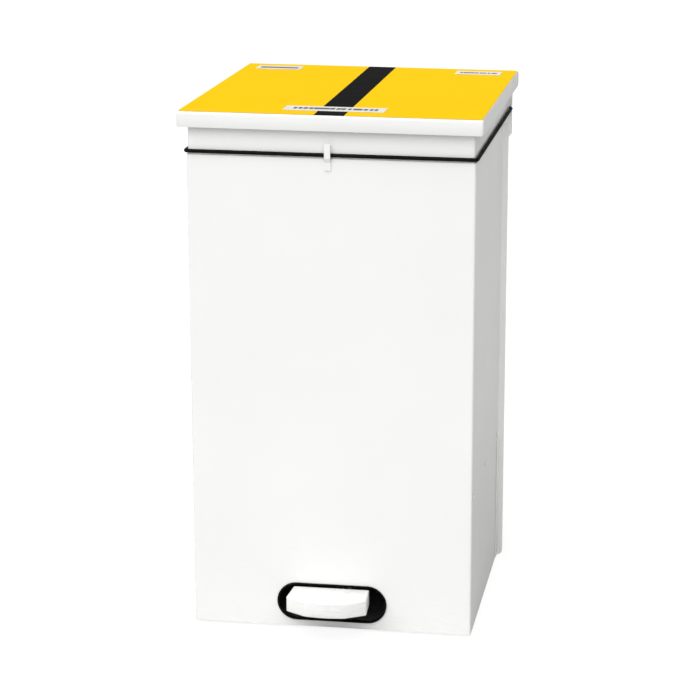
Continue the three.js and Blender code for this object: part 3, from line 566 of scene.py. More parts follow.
# ---- Rubber band ----
# A closed loop of round black rubber cord, joined end to end. Nothing fixes it: it's stretched
# round the collar over the folded edge of the sack and grips by its own pull.
band_tree, band_in, band_out = geometry_tree("cord_round_collar", {
    "Width": "NodeSocketFloat", "Depth": "NodeSocketFloat", "Corner": "NodeSocketFloat",
    "Cord Radius": "NodeSocketFloat", "Place": "NodeSocketVector",
    "Material": "NodeSocketMaterial"})
ring = band_tree.nodes.new("GeometryNodeCurvePrimitiveQuadrilateral")
ring_corners = band_tree.nodes.new("GeometryNodeFilletCurve")
ring_corners.mode = "POLY"
ring_corners.inputs["Count"].default_value = 10
ring_steps = band_tree.nodes.new("GeometryNodeResampleCurve")
ring_steps.mode = "EVALUATED"
ring_place = band_tree.nodes.new("GeometryNodeTransform")
cord_round = band_tree.nodes.new("GeometryNodeCurvePrimitiveCircle")
cord_round.inputs["Resolution"].default_value = 20
cord_mesh = band_tree.nodes.new("GeometryNodeCurveToMesh")
cord_smooth = band_tree.nodes.new("GeometryNodeSetShadeSmooth")
wired(band_tree,
      (band_in.outputs["Width"], ring.inputs["Width"]),
      (band_in.outputs["Depth"], ring.inputs["Height"]),
      (ring.outputs["Curve"], ring_corners.inputs["Curve"]),
      (band_in.outputs["Corner"], ring_corners.inputs["Radius"]),
      (ring_corners.outputs["Curve"], ring_steps.inputs["Curve"]),
      (ring_steps.outputs["Curve"], ring_place.inputs["Geometry"]),
      (band_in.outputs["Place"], ring_place.inputs["Translation"]),
      (ring_place.outputs["Geometry"], cord_mesh.inputs["Curve"]),
      (band_in.outputs["Cord Radius"], cord_round.inputs["Radius"]),
      (cord_round.outputs["Curve"], cord_mesh.inputs["Profile Curve"]),
      (cord_mesh.outputs["Mesh"], cord_smooth.inputs["Geometry"]))
finished_by(band_tree, cord_smooth.outputs["Geometry"], band_in.outputs["Material"], band_out)


def blank(name):
    """An empty object for a geometry tree to fill."""
    made = bpy.data.objects.new(name, bpy.data.meshes.new(name))
    scene.collection.objects.link(made)
    return made


band_low, band_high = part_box("sack_band")
cord_radius = (band_high.z - band_low.z) / 2
band_middle = (band_low + band_high) / 2
band_rubber = rubber("band_rubber", (0.004, 0.004, 0.0045, 1), (0.01, 0.01, 0.0105, 1), 0.5)
band = run_tree(blank("sack_band_cord"), band_tree, {
    "Width": band_high.x - band_low.x - 2 * cord_radius,
    "Depth": band_high.y - band_low.y - 2 * cord_radius,
    "Corner": 5 * mm,
    "Cord Radius": cord_radius,
    "Place": tuple(band_middle),
    "Material": band_rubber})
fitted(band, "frame", band_rubber, "black_rubber", "sack_band")


# ---- Lid buffers ----
# Two soft rubber buttons, moulded with a groove, that the lid comes down on. Each is pressed
# through a hole in the collar's lip.
buffer_names = ("lid_buffer_left", "lid_buffer_right")
buffer_low, buffer_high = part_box(buffer_names[0])
buffer_tall = buffer_high.z - buffer_low.z
buffer_shape = lathed("buffer_shape", [
    (0, 0), (1.6 * mm, 0), (2 * mm, 0.4 * mm), (2 * mm, 3.3 * mm), (3.8 * mm, 3.3 * mm),
    (4 * mm, 3.5 * mm), (4 * mm, buffer_tall - 1.3 * mm), (3.6 * mm, buffer_tall - 0.5 * mm),
    (2.8 * mm, buffer_tall), (0, buffer_tall)], 28)
creased(buffer_shape, 50)
buffers = repeated("lid_buffers", buffer_shape, standing(buffer_names), foot_rubber)
fitted(buffers, "frame", foot_rubber, "black_rubber", *buffer_names)


# ---- Hinge brackets and rod ----
# Two laser-cut 3 mm plates welded inside the back channel, and a 6 mm bright steel rod through
# them and the lid's lugs, headed at both ends.
bracket_zinc = zinc_plate("bracket_zinc", (0.68, 0.69, 0.71, 1), (0.55, 0.56, 0.58, 1), 0.42)
for node in ("hinge_bracket_left", "hinge_bracket_right"):
    carried(node, "frame", bracket_zinc, "zinc_plated_steel", 0.4 * mm)


def laid_across(made, middle):
    """Turns a shape made about Z to lie along X, centred on a point."""
    made.data.transform(Matrix.Translation(middle) @ Matrix.Rotation(math.pi / 2, 4, "Y"))
    return made


def headed_rod(name, half, radius, head_from, head_radius):
    """A plain rod with a domed head at each end, lying along Z about the origin."""
    profile = [(0, -half), (head_radius - 0.8 * mm, -half),
               (head_radius - 0.2 * mm, -half + 0.3 * mm), (head_radius, -half + 0.9 * mm),
               (head_radius, -head_from), (radius, -head_from)]
    made = lathed(name, profile + [(r, -z) for r, z in reversed(profile)], 48)
    return creased(made, 40)


hinge_low, hinge_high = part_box("hinge_rod")
hinge_half = (hinge_high.x - hinge_low.x) / 2
hinge_rod = headed_rod("hinge_rod_piece", hinge_half, 3 * mm, hinge_half - 2 * mm, 4.5 * mm)
laid_across(hinge_rod, (hinge_low + hinge_high) / 2)
fitted(hinge_rod, "frame", bracket_zinc, "zinc_plated_steel", "hinge_rod")


# ---- Pedal bracket, axle and bolts ----
# A U of 3 mm plate bolted to the tray with two M6 hexagon screws, and the 10 mm axle that the
# pedal arm turns on.
carried("pedal_bracket", "frame", bracket_zinc, "zinc_plated_steel", 0.4 * mm)

axle_low, axle_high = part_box("pedal_axle")
axle_half = (axle_high.x - axle_low.x) / 2
axle = headed_rod("pedal_axle_piece", axle_half, 5 * mm, axle_half - 2.5 * mm, 7 * mm)
laid_across(axle, (axle_low + axle_high) / 2)
fitted(axle, "frame", bracket_zinc, "zinc_plated_steel", "pedal_axle")


def hexagon(name, radius, low, high, bore=0.0, rings=()):
    """A hexagon with its corners chamfered by a cone, with a bore or a shank below it."""
    shape = bmesh.new()
    sides = 48
    def corner_reach(angle):
        return math.cos(math.pi / 6) / math.cos((angle + math.pi / 6) % (math.pi / 3) - math.pi / 6)
    def ring(height, flat_radius, hexed):
        made = []
        for i in range(sides):
            angle = 2 * math.pi * i / sides
            reach = min(radius * corner_reach(angle), flat_radius) if hexed else flat_radius
            made.append(shape.verts.new((reach * math.cos(angle), reach * math.sin(angle), height)))
        return made
    chamfered = 0.9 * radius
    halfway = 0.945 * radius
    loops = [ring(low, chamfered, True), ring(low + 0.05 * radius, halfway, True),
             ring(low + 0.11 * radius, radius, True), ring(high - 0.11 * radius, radius, True),
             ring(high - 0.05 * radius, halfway, True), ring(high, chamfered, True)]
    if bore:
        loops.append(ring(high, bore + 0.4 * mm, False))
        loops.append(ring(high - 0.4 * mm, bore, False))
        loops.append(ring(low + 0.4 * mm, bore, False))
        loops.append(ring(low, bore + 0.4 * mm, False))
        loops.append(loops[0])
    else:
        loops = [ring(height, ring_radius, False) for ring_radius, height in rings] + loops
    for lower, upper in zip(loops, loops[1:]):
        for i in range(sides):
            j = (i + 1) % sides
            shape.faces.new((lower[i], lower[j], upper[j], upper[i]))
    if not bore:
        shape.faces.new(loops[0])
        shape.faces.new(loops[-1])
    bmesh.ops.recalc_face_normals(shape, faces=shape.faces)
    made = as_object(name, shape)
    return creased(made, 25)


bolt_names = ("bracket_bolt_front", "bracket_bolt_rear")
bolt_low, bolt_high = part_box(bolt_names[0])
bolt_tall = bolt_high.z - bolt_low.z
bolt_rings = [(2.4 * mm, 0), (3 * mm, 0.6 * mm), (3 * mm, bolt_tall - 4 * mm)]
bolt_shape = hexagon("bolt_shape", 5.5 * mm, bolt_tall - 4 * mm, bolt_tall, rings=bolt_rings)
bolts = repeated("bracket_bolts", bolt_shape, standing(bolt_names), bracket_zinc)
fitted(bolts, "frame", bracket_zinc, "zinc_plated_steel", *bolt_names)


# ---- Pedal arm, bush and plate ----
# A 6 mm steel lever cut to shape, with a nylon bush at its pivot, a plate welded under the pad and
# a cross pin for the push rod at its rear end.
arm_zinc = zinc_plate("arm_zinc", (0.66, 0.67, 0.68, 1), (0.5, 0.51, 0.52, 1), 0.45)
carried("pedal_arm", "pedal", arm_zinc, "zinc_plated_steel", 0.6 * mm, 3)
carried("pedal_plate", "pedal", arm_zinc, "zinc_plated_steel", 0.5 * mm, 3)


def nylon(name, light, shade):
    """Natural nylon: waxy, very slightly mottled, with fine moulding grain."""
    finish, tree, shader, place = new_finish(name)
    colour = blended(tree, ranged(tree, noise(tree, place, 60, 4), 0.3, 0.7), light, shade)
    rubbed = placed(tree, worn_edge, {"Amount": 0.5}, "Mask")
    colour = blended(tree, rubbed, colour, (0.86, 0.84, 0.79, 1))
    tree.links.new(colour, shader.inputs["Base Color"])
    tree.links.new(ranged(tree, noise(tree, place, 200, 3), 0.3, 0.7, 0.42, 0.56),
                   shader.inputs["Roughness"])
    shader.inputs["Subsurface Weight"].default_value = 0.12
    shader.inputs["Subsurface Scale"].default_value = 2 * mm
    embossed(tree, shader, placed(tree, orange_peel, {"Pebble Size": 900.0, "Wave": 0.0}, "Height"),
             0.02 * mm)
    return finish


bush_nylon = nylon("bush_nylon", (0.76, 0.73, 0.66, 1), (0.7, 0.665, 0.59, 1))
bush_low, bush_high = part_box("pedal_bush")
bush_half = (bush_high.x - bush_low.x) / 2
bush_radius = (bush_high.z - bush_low.z) / 2
bush_bore = 5.3 * mm
bush = lathed("pedal_bush_piece", [
    (bush_bore, -bush_half + 0.4 * mm), (bush_bore + 0.4 * mm, -bush_half),
    (bush_radius - 0.4 * mm, -bush_half), (bush_radius, -bush_half + 0.4 * mm),
    (bush_radius, bush_half - 0.4 * mm), (bush_radius - 0.4 * mm, bush_half),
    (bush_bore + 0.4 * mm, bush_half), (bush_bore, bush_half - 0.4 * mm)], 48, closed=True)
creased(bush, 35)
laid_across(bush, (bush_low + bush_high) / 2)
fitted(bush, "pedal", bush_nylon, "nylon", "pedal_bush")


def clipped_pin(node, finish, body):
    """A turned pin with a clip collar near each end."""
    low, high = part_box(node)
    half = (high.x - low.x) / 2
    profile = [(0, -half), (2.5 * mm, -half), (3 * mm, -half + 0.5 * mm),
               (3 * mm, -half + 0.8 * mm), (4.6 * mm, -half + 0.8 * mm),
               (4.6 * mm, -half + 1.6 * mm), (3 * mm, -half + 1.6 * mm)]
    made = lathed(f"{node}_piece", profile + [(r, -z) for r, z in reversed(profile)], 36)
    creased(made, 35)
    laid_across(made, (low + high) / 2)
    return fitted(made, body, finish, "zinc_plated_steel", node)


clipped_pin("arm_pin", arm_zinc, "pedal")


# ---- Pedal pad ----
# A pressed steel cap over the end of the pedal arm, hollow below and open behind, with a bowed
# nose, two slanted corners and generously rounded edges. It's powder coated white.
def drawn(name, outline, low, high, axis="Z"):
    """A solid from an outline, drawn out along an axis."""
    order = {"Z": lambda a, b, c: (a, b, c), "Y": lambda a, b, c: (a, c, b),
             "X": lambda a, b, c: (c, a, b)}[axis]
    shape = bmesh.new()
    ends = [[shape.verts.new(order(a, b, c)) for a, b in outline] for c in (low, high)]
    for end in ends:
        shape.faces.new(end)
    for i in range(len(outline)):
        j = (i + 1) % len(outline)
        shape.faces.new((ends[0][i], ends[0][j], ends[1][j], ends[1][i]))
    bmesh.ops.recalc_face_normals(shape, faces=shape.faces)
    return as_object(name, shape)


def less(made, *tools):
    """Cuts the tools out of a piece and removes them."""
    for tool in tools:
        cutter = made.modifiers.new("cut", "BOOLEAN")
        cutter.operation = "DIFFERENCE"
        cutter.solver = "EXACT"
        cutter.object = tool
    settled(made)
    for tool in tools:
        bpy.data.objects.remove(tool)
    return made


pad_low, pad_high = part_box("pedal_pad")
pad_half = (pad_high.x - pad_low.x) / 2
pad_wall = 2 * mm
pad_flare = 2.5 * mm
pad_bow = 3 * mm
pad_slant = 18 * mm
pad_nose_share = 0.27


def pad_outline(inset, rear):
    """Plan of the pad, walking from the rear right corner to the left and round the nose."""
    nose = pad_nose_share * 2 * (pad_half - pad_flare) - inset / 2
    half = pad_half - inset
    front = pad_low.y
    corner_end = front + pad_slant
    points = [(half - pad_flare, rear), (-half + pad_flare, rear), (-half, corner_end)]
    steps = 16
    for i in range(steps + 1):
        t = 2 * i / steps - 1
        points.append((nose * t, front + inset + pad_bow * t * t))
    points.append((half, corner_end))
    return points


pad = drawn("pedal_pad_piece", pad_outline(0, pad_high.y), pad_low.z, pad_high.z)
rounding = pad.modifiers.new("rounding", "BEVEL")
rounding.width = 1.9 * mm
rounding.segments = 5
rounding.limit_method = "ANGLE"
rounding.angle_limit = math.radians(25)
settled(pad)
less(pad, drawn("pad_hollow", pad_outline(pad_wall, pad_high.y + 3 * mm), pad_low.z - 2 * mm,
                pad_high.z - pad_wall))
eased(pad, 0.25 * mm)
pad_coat = powder_coat("pad_powder_coat", (0.84, 0.84, 0.832, 1), (0.8, 0.8, 0.792, 1), 0.9, 0.6)
fitted(pad, "pedal", pad_coat, "white_painted_steel", "pedal_pad")


# ---- Push rod, forks, lock nuts and guides ----
# An 8 mm steel rod, threaded at both ends, with a slotted fork and a lock nut on each. Two nylon
# blocks on the back channel keep it upright as it lifts the lid's crank.
rod_zinc = zinc_plate("rod_zinc", (0.7, 0.71, 0.73, 1), (0.57, 0.58, 0.6, 1), 0.36)
rod_low, rod_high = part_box("push_rod")
rod_middle = (rod_low + rod_high) / 2
rod_radius = (rod_high.x - rod_low.x) / 2
thread_pitch = 1.25 * mm
thread_depth = 0.6 * mm
thread_length = 42 * mm


def threaded_rod(name):
    """A rod about Z whose ends carry a real helical thread."""
    shape = bmesh.new()
    around = 28
    steps = 8
    along = [thread_pitch * i / steps for i in range(int(thread_length / thread_pitch) * steps)]
    heights = [rod_low.z + way for way in along]
    heights += [rod_low.z + thread_length, rod_high.z - thread_length]
    heights += [rod_high.z - way for way in reversed(along)]
    rings = []
    for height in heights:
        from_end = min(height - rod_low.z, rod_high.z - height)
        depth = thread_depth if from_end < thread_length - thread_pitch else 0
        taper = min(1, from_end / (1.2 * mm))
        ring = []
        for i in range(around):
            angle = 2 * math.pi * i / around
            phase = (height / thread_pitch - i / around) % 1
            groove = depth * (1 - abs(2 * phase - 1))
            reach = (rod_radius - groove) * (0.82 + 0.18 * taper)
            ring.append(shape.verts.new((rod_middle.x + reach * math.cos(angle),
                                         rod_middle.y + reach * math.sin(angle), height)))
        rings.append(ring)
    for lower, upper in zip(rings, rings[1:]):
        for i in range(around):
            j = (i + 1) % around
            shape.faces.new((lower[i], lower[j], upper[j], upper[i]))
    shape.faces.new(rings[0])
    shape.faces.new(rings[-1])
    bmesh.ops.recalc_face_normals(shape, faces=shape.faces)
    made = as_object(name, shape)
    return creased(made, 50)


fitted(threaded_rod("push_rod_piece"), "push_rod", rod_zinc, "zinc_plated_steel", "push_rod")
for node in ("rod_fork_upper", "rod_fork_lower"):
    carried(node, "push_rod", rod_zinc, "zinc_plated_steel", 0.5 * mm, 3)
nut_names = ("lock_nut_lower", "lock_nut_upper")
nut_low, nut_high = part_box(nut_names[0])
nut_tall = nut_high.z - nut_low.z
nut_shape = hexagon("nut_shape", 7 * mm, 0, nut_tall, bore=rod_radius + 0.3 * mm)
nuts = repeated("lock_nuts", nut_shape, standing(nut_names), rod_zinc)
fitted(nuts, "push_rod", rod_zinc, "zinc_plated_steel", *nut_names)
for node in ("rod_guide_lower", "rod_guide_upper"):
    carried(node, "frame", bush_nylon, "nylon", 0.8 * mm, 3)


# ---- Lid shell ----
# A tray of 1.2 mm sheet turned upside down: its four skirts are folded down, welded at the corners
# and ground round, so that the lower corners of the skirts are softly rounded too.
lid_low, lid_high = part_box("lid_shell")
lid_sheet = 1.2 * mm
lid_radius = 3 * mm
lid_steps = 6
lid_middle = (lid_low + lid_high) / 2
rear_round = 10 * mm
front_round = 4 * mm


def rounded_loop(low_x, high_x, low_y, high_y, radius):
    """Points round the lid, closer together where the skirts' lower corners are rounded."""
    points = []
    corners = ((high_x, high_y, rear_round), (low_x, high_y, rear_round),
               (low_x, low_y, front_round), (high_x, low_y, front_round))
    for quarter, (corner_x, corner_y, skirt_round) in enumerate(corners):
        middle_x = corner_x - math.copysign(radius, corner_x - lid_middle.x)
        middle_y = corner_y - math.copysign(radius, corner_y - lid_middle.y)
        start = quarter * math.pi / 2
        into = (math.cos(start), math.sin(start))
        after = (-into[1], into[0])
        ways = [(skirt_round - lid_radius) * share for share in (0.1, 0.25, 0.45, 0.7, 1)]
        for way in reversed(ways):
            points.append((middle_x + radius * into[0] - way * after[0],
                           middle_y + radius * into[1] - way * after[1]))
        for i in range(lid_steps + 1):
            angle = start + i / lid_steps * math.pi / 2
            points.append((middle_x + radius * math.cos(angle),
                           middle_y + radius * math.sin(angle)))
        for way in ways:
            points.append((middle_x + radius * after[0] - way * into[0],
                           middle_y + radius * after[1] - way * into[1]))
    return points


def skirt_lift(x, y, inset):
    """How far the skirt's lower edge is raised at a point near a corner."""
    skirt_round = rear_round if y > lid_middle.y else front_round
    from_side = min(lid_high.x - x, x - lid_low.x)
    from_end = min(lid_high.y - y, y - lid_low.y)
    short = min(skirt_round, max(0, skirt_round - max(from_side, from_end) + inset))
    return skirt_round - math.sqrt(skirt_round ** 2 - short ** 2)


def lid_ring(shape, inset, height, radius, follow_skirt=False):
    """One ring of the lid's section, level or raised where the skirts are rounded."""
    ring = []
    for x, y in rounded_loop(lid_low.x + inset, lid_high.x - inset, lid_low.y + inset,
                             lid_high.y - inset, max(radius, 0.01 * mm)):
        lift = skirt_lift(x, y, inset) if follow_skirt else 0
        ring.append(shape.verts.new((x, y, height + lift)))
    return ring


def edge_sections(start, top, radius):
    """Inset, height and corner radius of rings down a rounded top edge."""
    sections = []
    for i in range(lid_steps + 1):
        angle = i / lid_steps * math.pi / 2
        inset = radius * (1 - math.sin(angle))
        sections.append((start + inset, top - radius * (1 - math.cos(angle)), radius - inset))
    return sections


# From the middle of the top, out over the edge, round the skirts' lower rim and back inside.
lid_rim = 0.3 * mm
inner_radius = lid_radius - lid_sheet
lid_sections = edge_sections(0, lid_high.z, lid_radius)
lid_sections += [(0, lid_low.z + lid_rim, lid_radius, True),
                 (0.1 * mm, lid_low.z + 0.09 * mm, lid_radius - 0.1 * mm, True),
                 (lid_rim, lid_low.z, lid_radius - lid_rim, True),
                 (lid_sheet - lid_rim, lid_low.z, inner_radius + lid_rim, True),
                 (lid_sheet, lid_low.z + lid_rim, inner_radius, True)]
lid_sections += reversed(edge_sections(lid_sheet, lid_high.z - lid_sheet, inner_radius))
lid_shape = bmesh.new()
lid_rings = [lid_ring(lid_shape, *section) for section in lid_sections]
for upper, lower in zip(lid_rings, lid_rings[1:]):
    for i in range(len(upper)):
        j = (i + 1) % len(upper)
        lid_shape.faces.new((upper[i], upper[j], lower[j], lower[i]))
lid_shape.faces.new(lid_rings[0])
lid_shape.faces.new(lid_rings[-1])
bmesh.ops.remove_doubles(lid_shape, verts=lid_shape.verts, dist=0.03 * mm)
bmesh.ops.recalc_face_normals(lid_shape, faces=lid_shape.faces)
lid = as_object("lid_shell_piece", lid_shape)
creased(lid, 40)
lid_coat = powder_coat("lid_powder_coat", (0.84, 0.84, 0.832, 1), (0.815, 0.815, 0.808, 1),
                       0.1, 0.18)
fitted(lid, "lid", lid_coat, "white_painted_steel", "lid_shell")


# ---- Lid stiffener, lugs and crank ----
# A folded top-hat rib across the lid, two hinge lugs and the crank that the push rod lifts, all
# welded underneath. The crank's pin is held by a clip at each end.
carried("lid_stiffener", "lid", lid_coat, "white_painted_steel", 0.3 * mm)
for node in ("lid_lug_left", "lid_lug_right", "lid_crank"):
    carried(node, "lid", bracket_zinc, "zinc_plated_steel", 0.4 * mm)
clipped_pin("crank_pin", bracket_zinc, "lid")


# ---- Films on the lid ----
# Three pieces of self-adhesive vinyl, two yellow with a black stripe between them, cut to the flat
# top of the lid with slightly rounded outer corners.
def vinyl(name, light, shade, edge):
    """Printed vinyl: even in colour, satin, with faint squeegee ripples and a pale cut edge."""
    finish, tree, shader, place = new_finish(name)
    colour = blended(tree, ranged(tree, noise(tree, place, 8, 4), 0.3, 0.7), light, shade)
    rubbed = placed(tree, worn_edge, {"Width": 0.8 * mm, "Amount": 0.5}, "Mask")
    colour = blended(tree, rubbed, colour, edge)
    tree.links.new(colour, shader.inputs["Base Color"])
    scratches = noise(tree, place, 160, 4, 0.7, (0.2, 1.4, 1))
    tree.links.new(ranged(tree, scratches, 0.35, 0.8, 0.3, 0.4), shader.inputs["Roughness"])
    shader.inputs["Specular IOR Level"].default_value = 0.005
    ripples = noise(tree, place, 40, 2, 0.5, (0.3, 1, 1))
    embossed(tree, shader, ripples, 0.03 * mm)
    return finish


def film_plate(node, radius, corners=(True, True, True, True)):
    """A thin plate with rounded corners: rear right, rear left, front left, front right."""
    low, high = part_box(node)
    ways = ((high.x, high.y), (low.x, high.y), (low.x, low.y), (high.x, low.y))
    outline = []
    for quarter, ((corner_x, corner_y), soft) in enumerate(zip(ways, corners)):
        if not soft:
            outline.append((corner_x, corner_y))
            continue
        middle_x = corner_x - math.copysign(radius, corner_x - (low.x + high.x) / 2)
        middle_y = corner_y - math.copysign(radius, corner_y - (low.y + high.y) / 2)
        for i in range(9):
            angle = (quarter + i / 8) * math.pi / 2
            outline.append((middle_x + radius * math.cos(angle),
                            middle_y + radius * math.sin(angle)))
    return eased(drawn(f"{node}_piece", outline, low.z, high.z), 0.08 * mm)


yellow = vinyl("yellow_vinyl", (1.0, 0.605, 0.0, 1), (0.985, 0.585, 0.0, 1), (1.0, 0.75, 0.12, 1))
black = vinyl("black_vinyl", (0.006, 0.006, 0.0065, 1), (0.004, 0.004, 0.0045, 1),
              (0.05, 0.05, 0.05, 1))
fitted(film_plate("film_yellow_left", 2.5 * mm, (False, True, True, False)),
       "lid", yellow, "yellow_film", "film_yellow_left")
fitted(film_plate("film_yellow_right", 2.5 * mm, (True, False, False, True)),
       "lid", yellow, "yellow_film", "film_yellow_right")
fitted(film_plate("film_black_stripe", 0.3 * mm), "lid", black, "black_film", "film_black_stripe")


# ---- Labels on the lid ----
# Three small self-adhesive labels of white printed stock, stuck down over the films. Each has a
# plain row of dark blocks in place of words.
def label_stock(name, node, ink, rows, block_length, most_open):
    """White label stock with rows of plain printed blocks."""
    low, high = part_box(node)
    middle = (low + high) / 2
    half = (high - low) / 2
    finish, tree, shader, place = new_finish(name)
    centred = tree.nodes.new("ShaderNodeMapping")
    centred.inputs["Location"].default_value = (-middle.x, -middle.y, 0)
    tree.links.new(place, centred.inputs["Vector"])
    split = tree.nodes.new("ShaderNodeSeparateXYZ")
    tree.links.new(centred.outputs["Vector"], split.inputs["Vector"])
    printed = 0.0
    for row_middle, row_half, row_reach in rows:
        above = computed(tree, "SUBTRACT", split.outputs["Y"], row_middle)
        in_row = computed(tree, "LESS_THAN", computed(tree, "ABSOLUTE", above, 0), row_half)
        aside = computed(tree, "ABSOLUTE", split.outputs["X"], 0)
        along = computed(tree, "LESS_THAN", aside, row_reach)
        printed = computed(tree, "MAXIMUM", printed, computed(tree, "MULTIPLY", in_row, along))
    pitch = computed(tree, "DIVIDE", split.outputs["X"], block_length)
    cell = computed(tree, "FLOOR", pitch, 0)
    picked = tree.nodes.new("ShaderNodeTexWhiteNoise")
    picked.noise_dimensions = "1D"
    tree.links.new(cell, picked.inputs["W"])
    open_share = ranged(tree, picked.outputs["Value"], 0, 1, 0, most_open)
    blocks = computed(tree, "LESS_THAN", open_share, computed(tree, "FRACT", pitch, 0))
    printed = computed(tree, "MULTIPLY", printed, blocks)
    stock = blended(tree, ranged(tree, noise(tree, place, 50, 4), 0.3, 0.7),
                    (0.88, 0.88, 0.86, 1), (0.83, 0.83, 0.81, 1))
    faded = ranged(tree, noise(tree, place, 700, 3), 0.35, 0.7, 0.96, 0.8)
    stock = blended(tree, computed(tree, "MULTIPLY", printed, faded), stock, ink)
    rubbed = placed(tree, worn_edge, {"Width": 0.8 * mm, "Amount": 0.4}, "Mask")
    tree.links.new(blended(tree, rubbed, stock, (0.62, 0.6, 0.55, 1)), shader.inputs["Base Color"])
    tree.links.new(ranged(tree, noise(tree, place, 120, 3), 0.3, 0.7, 0.34, 0.46),
                   shader.inputs["Roughness"])
    embossed(tree, shader, noise(tree, place, 900, 2), 0.015 * mm)
    return fitted(film_plate(node, 1.2 * mm), "lid", finish, "white_label", node)


label_stock("front_label", "label_front", (0.014, 0.014, 0.015, 1),
            [(0.5 * mm, 6.5 * mm, 55 * mm)], 7 * mm, 0.4)
label_stock("rear_left_label", "label_rear_left", (0.03, 0.07, 0.12, 1),
            [(-1 * mm, 6 * mm, 27 * mm)], 5 * mm, 0)
label_stock("rear_right_label", "label_rear_right", (0.03, 0.03, 0.032, 1),
            [(0, 4.5 * mm, 26 * mm)], 5.5 * mm, 0.4)


# ---- Removable body ----
# One sheet of 1.2 mm steel folded into the front, both sides and their narrow rear flanges, with a
# round-ended slot cut in the front for the pedal. It's powder coated white inside and out.
shell_low, shell_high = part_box("body_shell")
shell_sheet = 1.2 * mm
shell_half = 185 * mm
fold_radius = 3 * mm


def folded(points, thickness, radius, steps=8):
    """Section of a folded sheet: the points are its outside face, the sheet lies to their left."""
    corners = [Vector(point) for point in points]
    face, back = [corners[0]], []
    way = (corners[1] - corners[0]).normalized()
    back.append(corners[0] + Vector((-way.y, way.x)) * thickness)
    for before, corner, after in zip(corners, corners[1:], corners[2:]):
        way_in = (corner - before).normalized()
        way_out = (after - corner).normalized()
        side = 1 if way_in.cross(way_out) > 0 else -1
        face_radius = radius if side > 0 else radius - thickness
        back_radius = radius - thickness if side > 0 else radius
        turn_angle = way_in.angle(way_out)
        start = corner - way_in * face_radius * math.tan(turn_angle / 2)
        middle = start + Vector((-way_in.y, way_in.x)) * side * face_radius
        for i in range(steps + 1):
            spoke = Vector((way_in.y, -way_in.x)) * side
            spoke.rotate(Matrix.Rotation(side * turn_angle * i / steps, 2))
            face.append(middle + spoke * face_radius)
            back.append(middle + spoke * back_radius)
    way = (corners[-1] - corners[-2]).normalized()
    face.append(corners[-1])
    back.append(corners[-1] + Vector((-way.y, way.x)) * thickness)
    return [tuple(point) for point in face + back[::-1]]


slot_low, slot_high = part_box("aperture_edging")
slot_middle_z = (slot_low.z + slot_high.z) / 2
edging_lap = 1.2 * mm
slot_half_x = (slot_high.x - slot_low.x) / 2 - edging_lap
slot_half_z = (slot_high.z - slot_low.z) / 2 - edging_lap


def stadium(half_x, half_z, steps=28):
    """A round-ended slot's outline about the origin."""
    points = []
    for side, start in ((1, -math.pi / 2), (-1, math.pi / 2)):
        for i in range(steps + 1):
            angle = start + math.pi * i / steps
            points.append((side * (half_x - half_z) + half_z * math.cos(angle),
                           half_z * math.sin(angle)))
    return points


flange_front = shell_high.y - shell_sheet
shell = drawn("body_shell_piece", folded([
    (shell_low.x, flange_front), (-shell_half, flange_front), (-shell_half, shell_low.y),
    (shell_half, shell_low.y), (shell_half, flange_front), (shell_high.x, flange_front)],
    shell_sheet, fold_radius), shell_low.z, shell_high.z)
flange_corner = 8 * mm
corner_cutters = []
for side in (-1, 1):
    corner = [(side * (shell_high.x + mm), shell_low.z - mm),
              (side * (shell_high.x - flange_corner), shell_low.z - mm)]
    for i in range(13):
        angle = i / 12 * math.pi / 2
        corner.append((side * (shell_high.x - flange_corner + flange_corner * math.sin(angle)),
                       shell_low.z + flange_corner - flange_corner * math.cos(angle)))
    corner.append((side * (shell_high.x + mm), shell_low.z + flange_corner))
    corner_cutters.append(drawn("corner_cutter", corner, shell_high.y - 2.5 * mm,
                                shell_high.y + mm, "Y"))
rivet_names = [f"body_rivet_{side}_{i}" for side in ("left", "right") for i in (1, 2, 3)]
rivet_boxes = [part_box(name) for name in rivet_names]
hole_cutters = []
for low, high in rivet_boxes:
    middle = (low + high) / 2
    hole = [(middle.y + 2.3 * mm * math.cos(math.tau * i / 20),
             middle.z + 2.3 * mm * math.sin(math.tau * i / 20)) for i in range(20)]
    edge = math.copysign(shell_half, middle.x)
    hole_cutters.append(drawn("hole_cutter", hole, edge - 3 * mm, edge + 3 * mm, "X"))
slot_outline = [(x, z + slot_middle_z) for x, z in stadium(slot_half_x, slot_half_z)]
slot_cutter = drawn("slot_cutter", slot_outline, shell_low.y - mm, shell_low.y + 5 * mm, "Y")
less(shell, slot_cutter, *corner_cutters, *hole_cutters)
eased(shell, 0.3 * mm)
body_coat = powder_coat("body_powder_coat", (0.84, 0.84, 0.833, 1), (0.815, 0.815, 0.808, 1),
                        0.25, 0.22)
fitted(shell, "removable_body", body_coat, "white_painted_steel", "body_shell")


# ---- Slot edging ----
# A strip of extruded black rubber with a U section, pushed over the cut edge of the pedal slot all
# the way round. It's held by its own grip on the sheet.
edging_tree, edging_in, edging_out = geometry_tree("edging_along_slot", {
    "Width": "NodeSocketFloat", "Height": "NodeSocketFloat", "Place": "NodeSocketVector",
    "Section": "NodeSocketObject", "Material": "NodeSocketMaterial"})
slot_path = edging_tree.nodes.new("GeometryNodeCurvePrimitiveQuadrilateral")
slot_ends = edging_tree.nodes.new("GeometryNodeFilletCurve")
slot_ends.mode = "POLY"
slot_ends.inputs["Count"].default_value = 22
slot_ends.inputs["Limit Radius"].default_value = True
slot_stand = edging_tree.nodes.new("GeometryNodeTransform")
slot_stand.inputs["Rotation"].default_value = (math.pi / 2, 0, 0)
slot_normal = edging_tree.nodes.new("GeometryNodeSetCurveNormal")
slot_normal.mode = "FREE"
slot_normal.inputs["Normal"].default_value = (0, -1, 0)
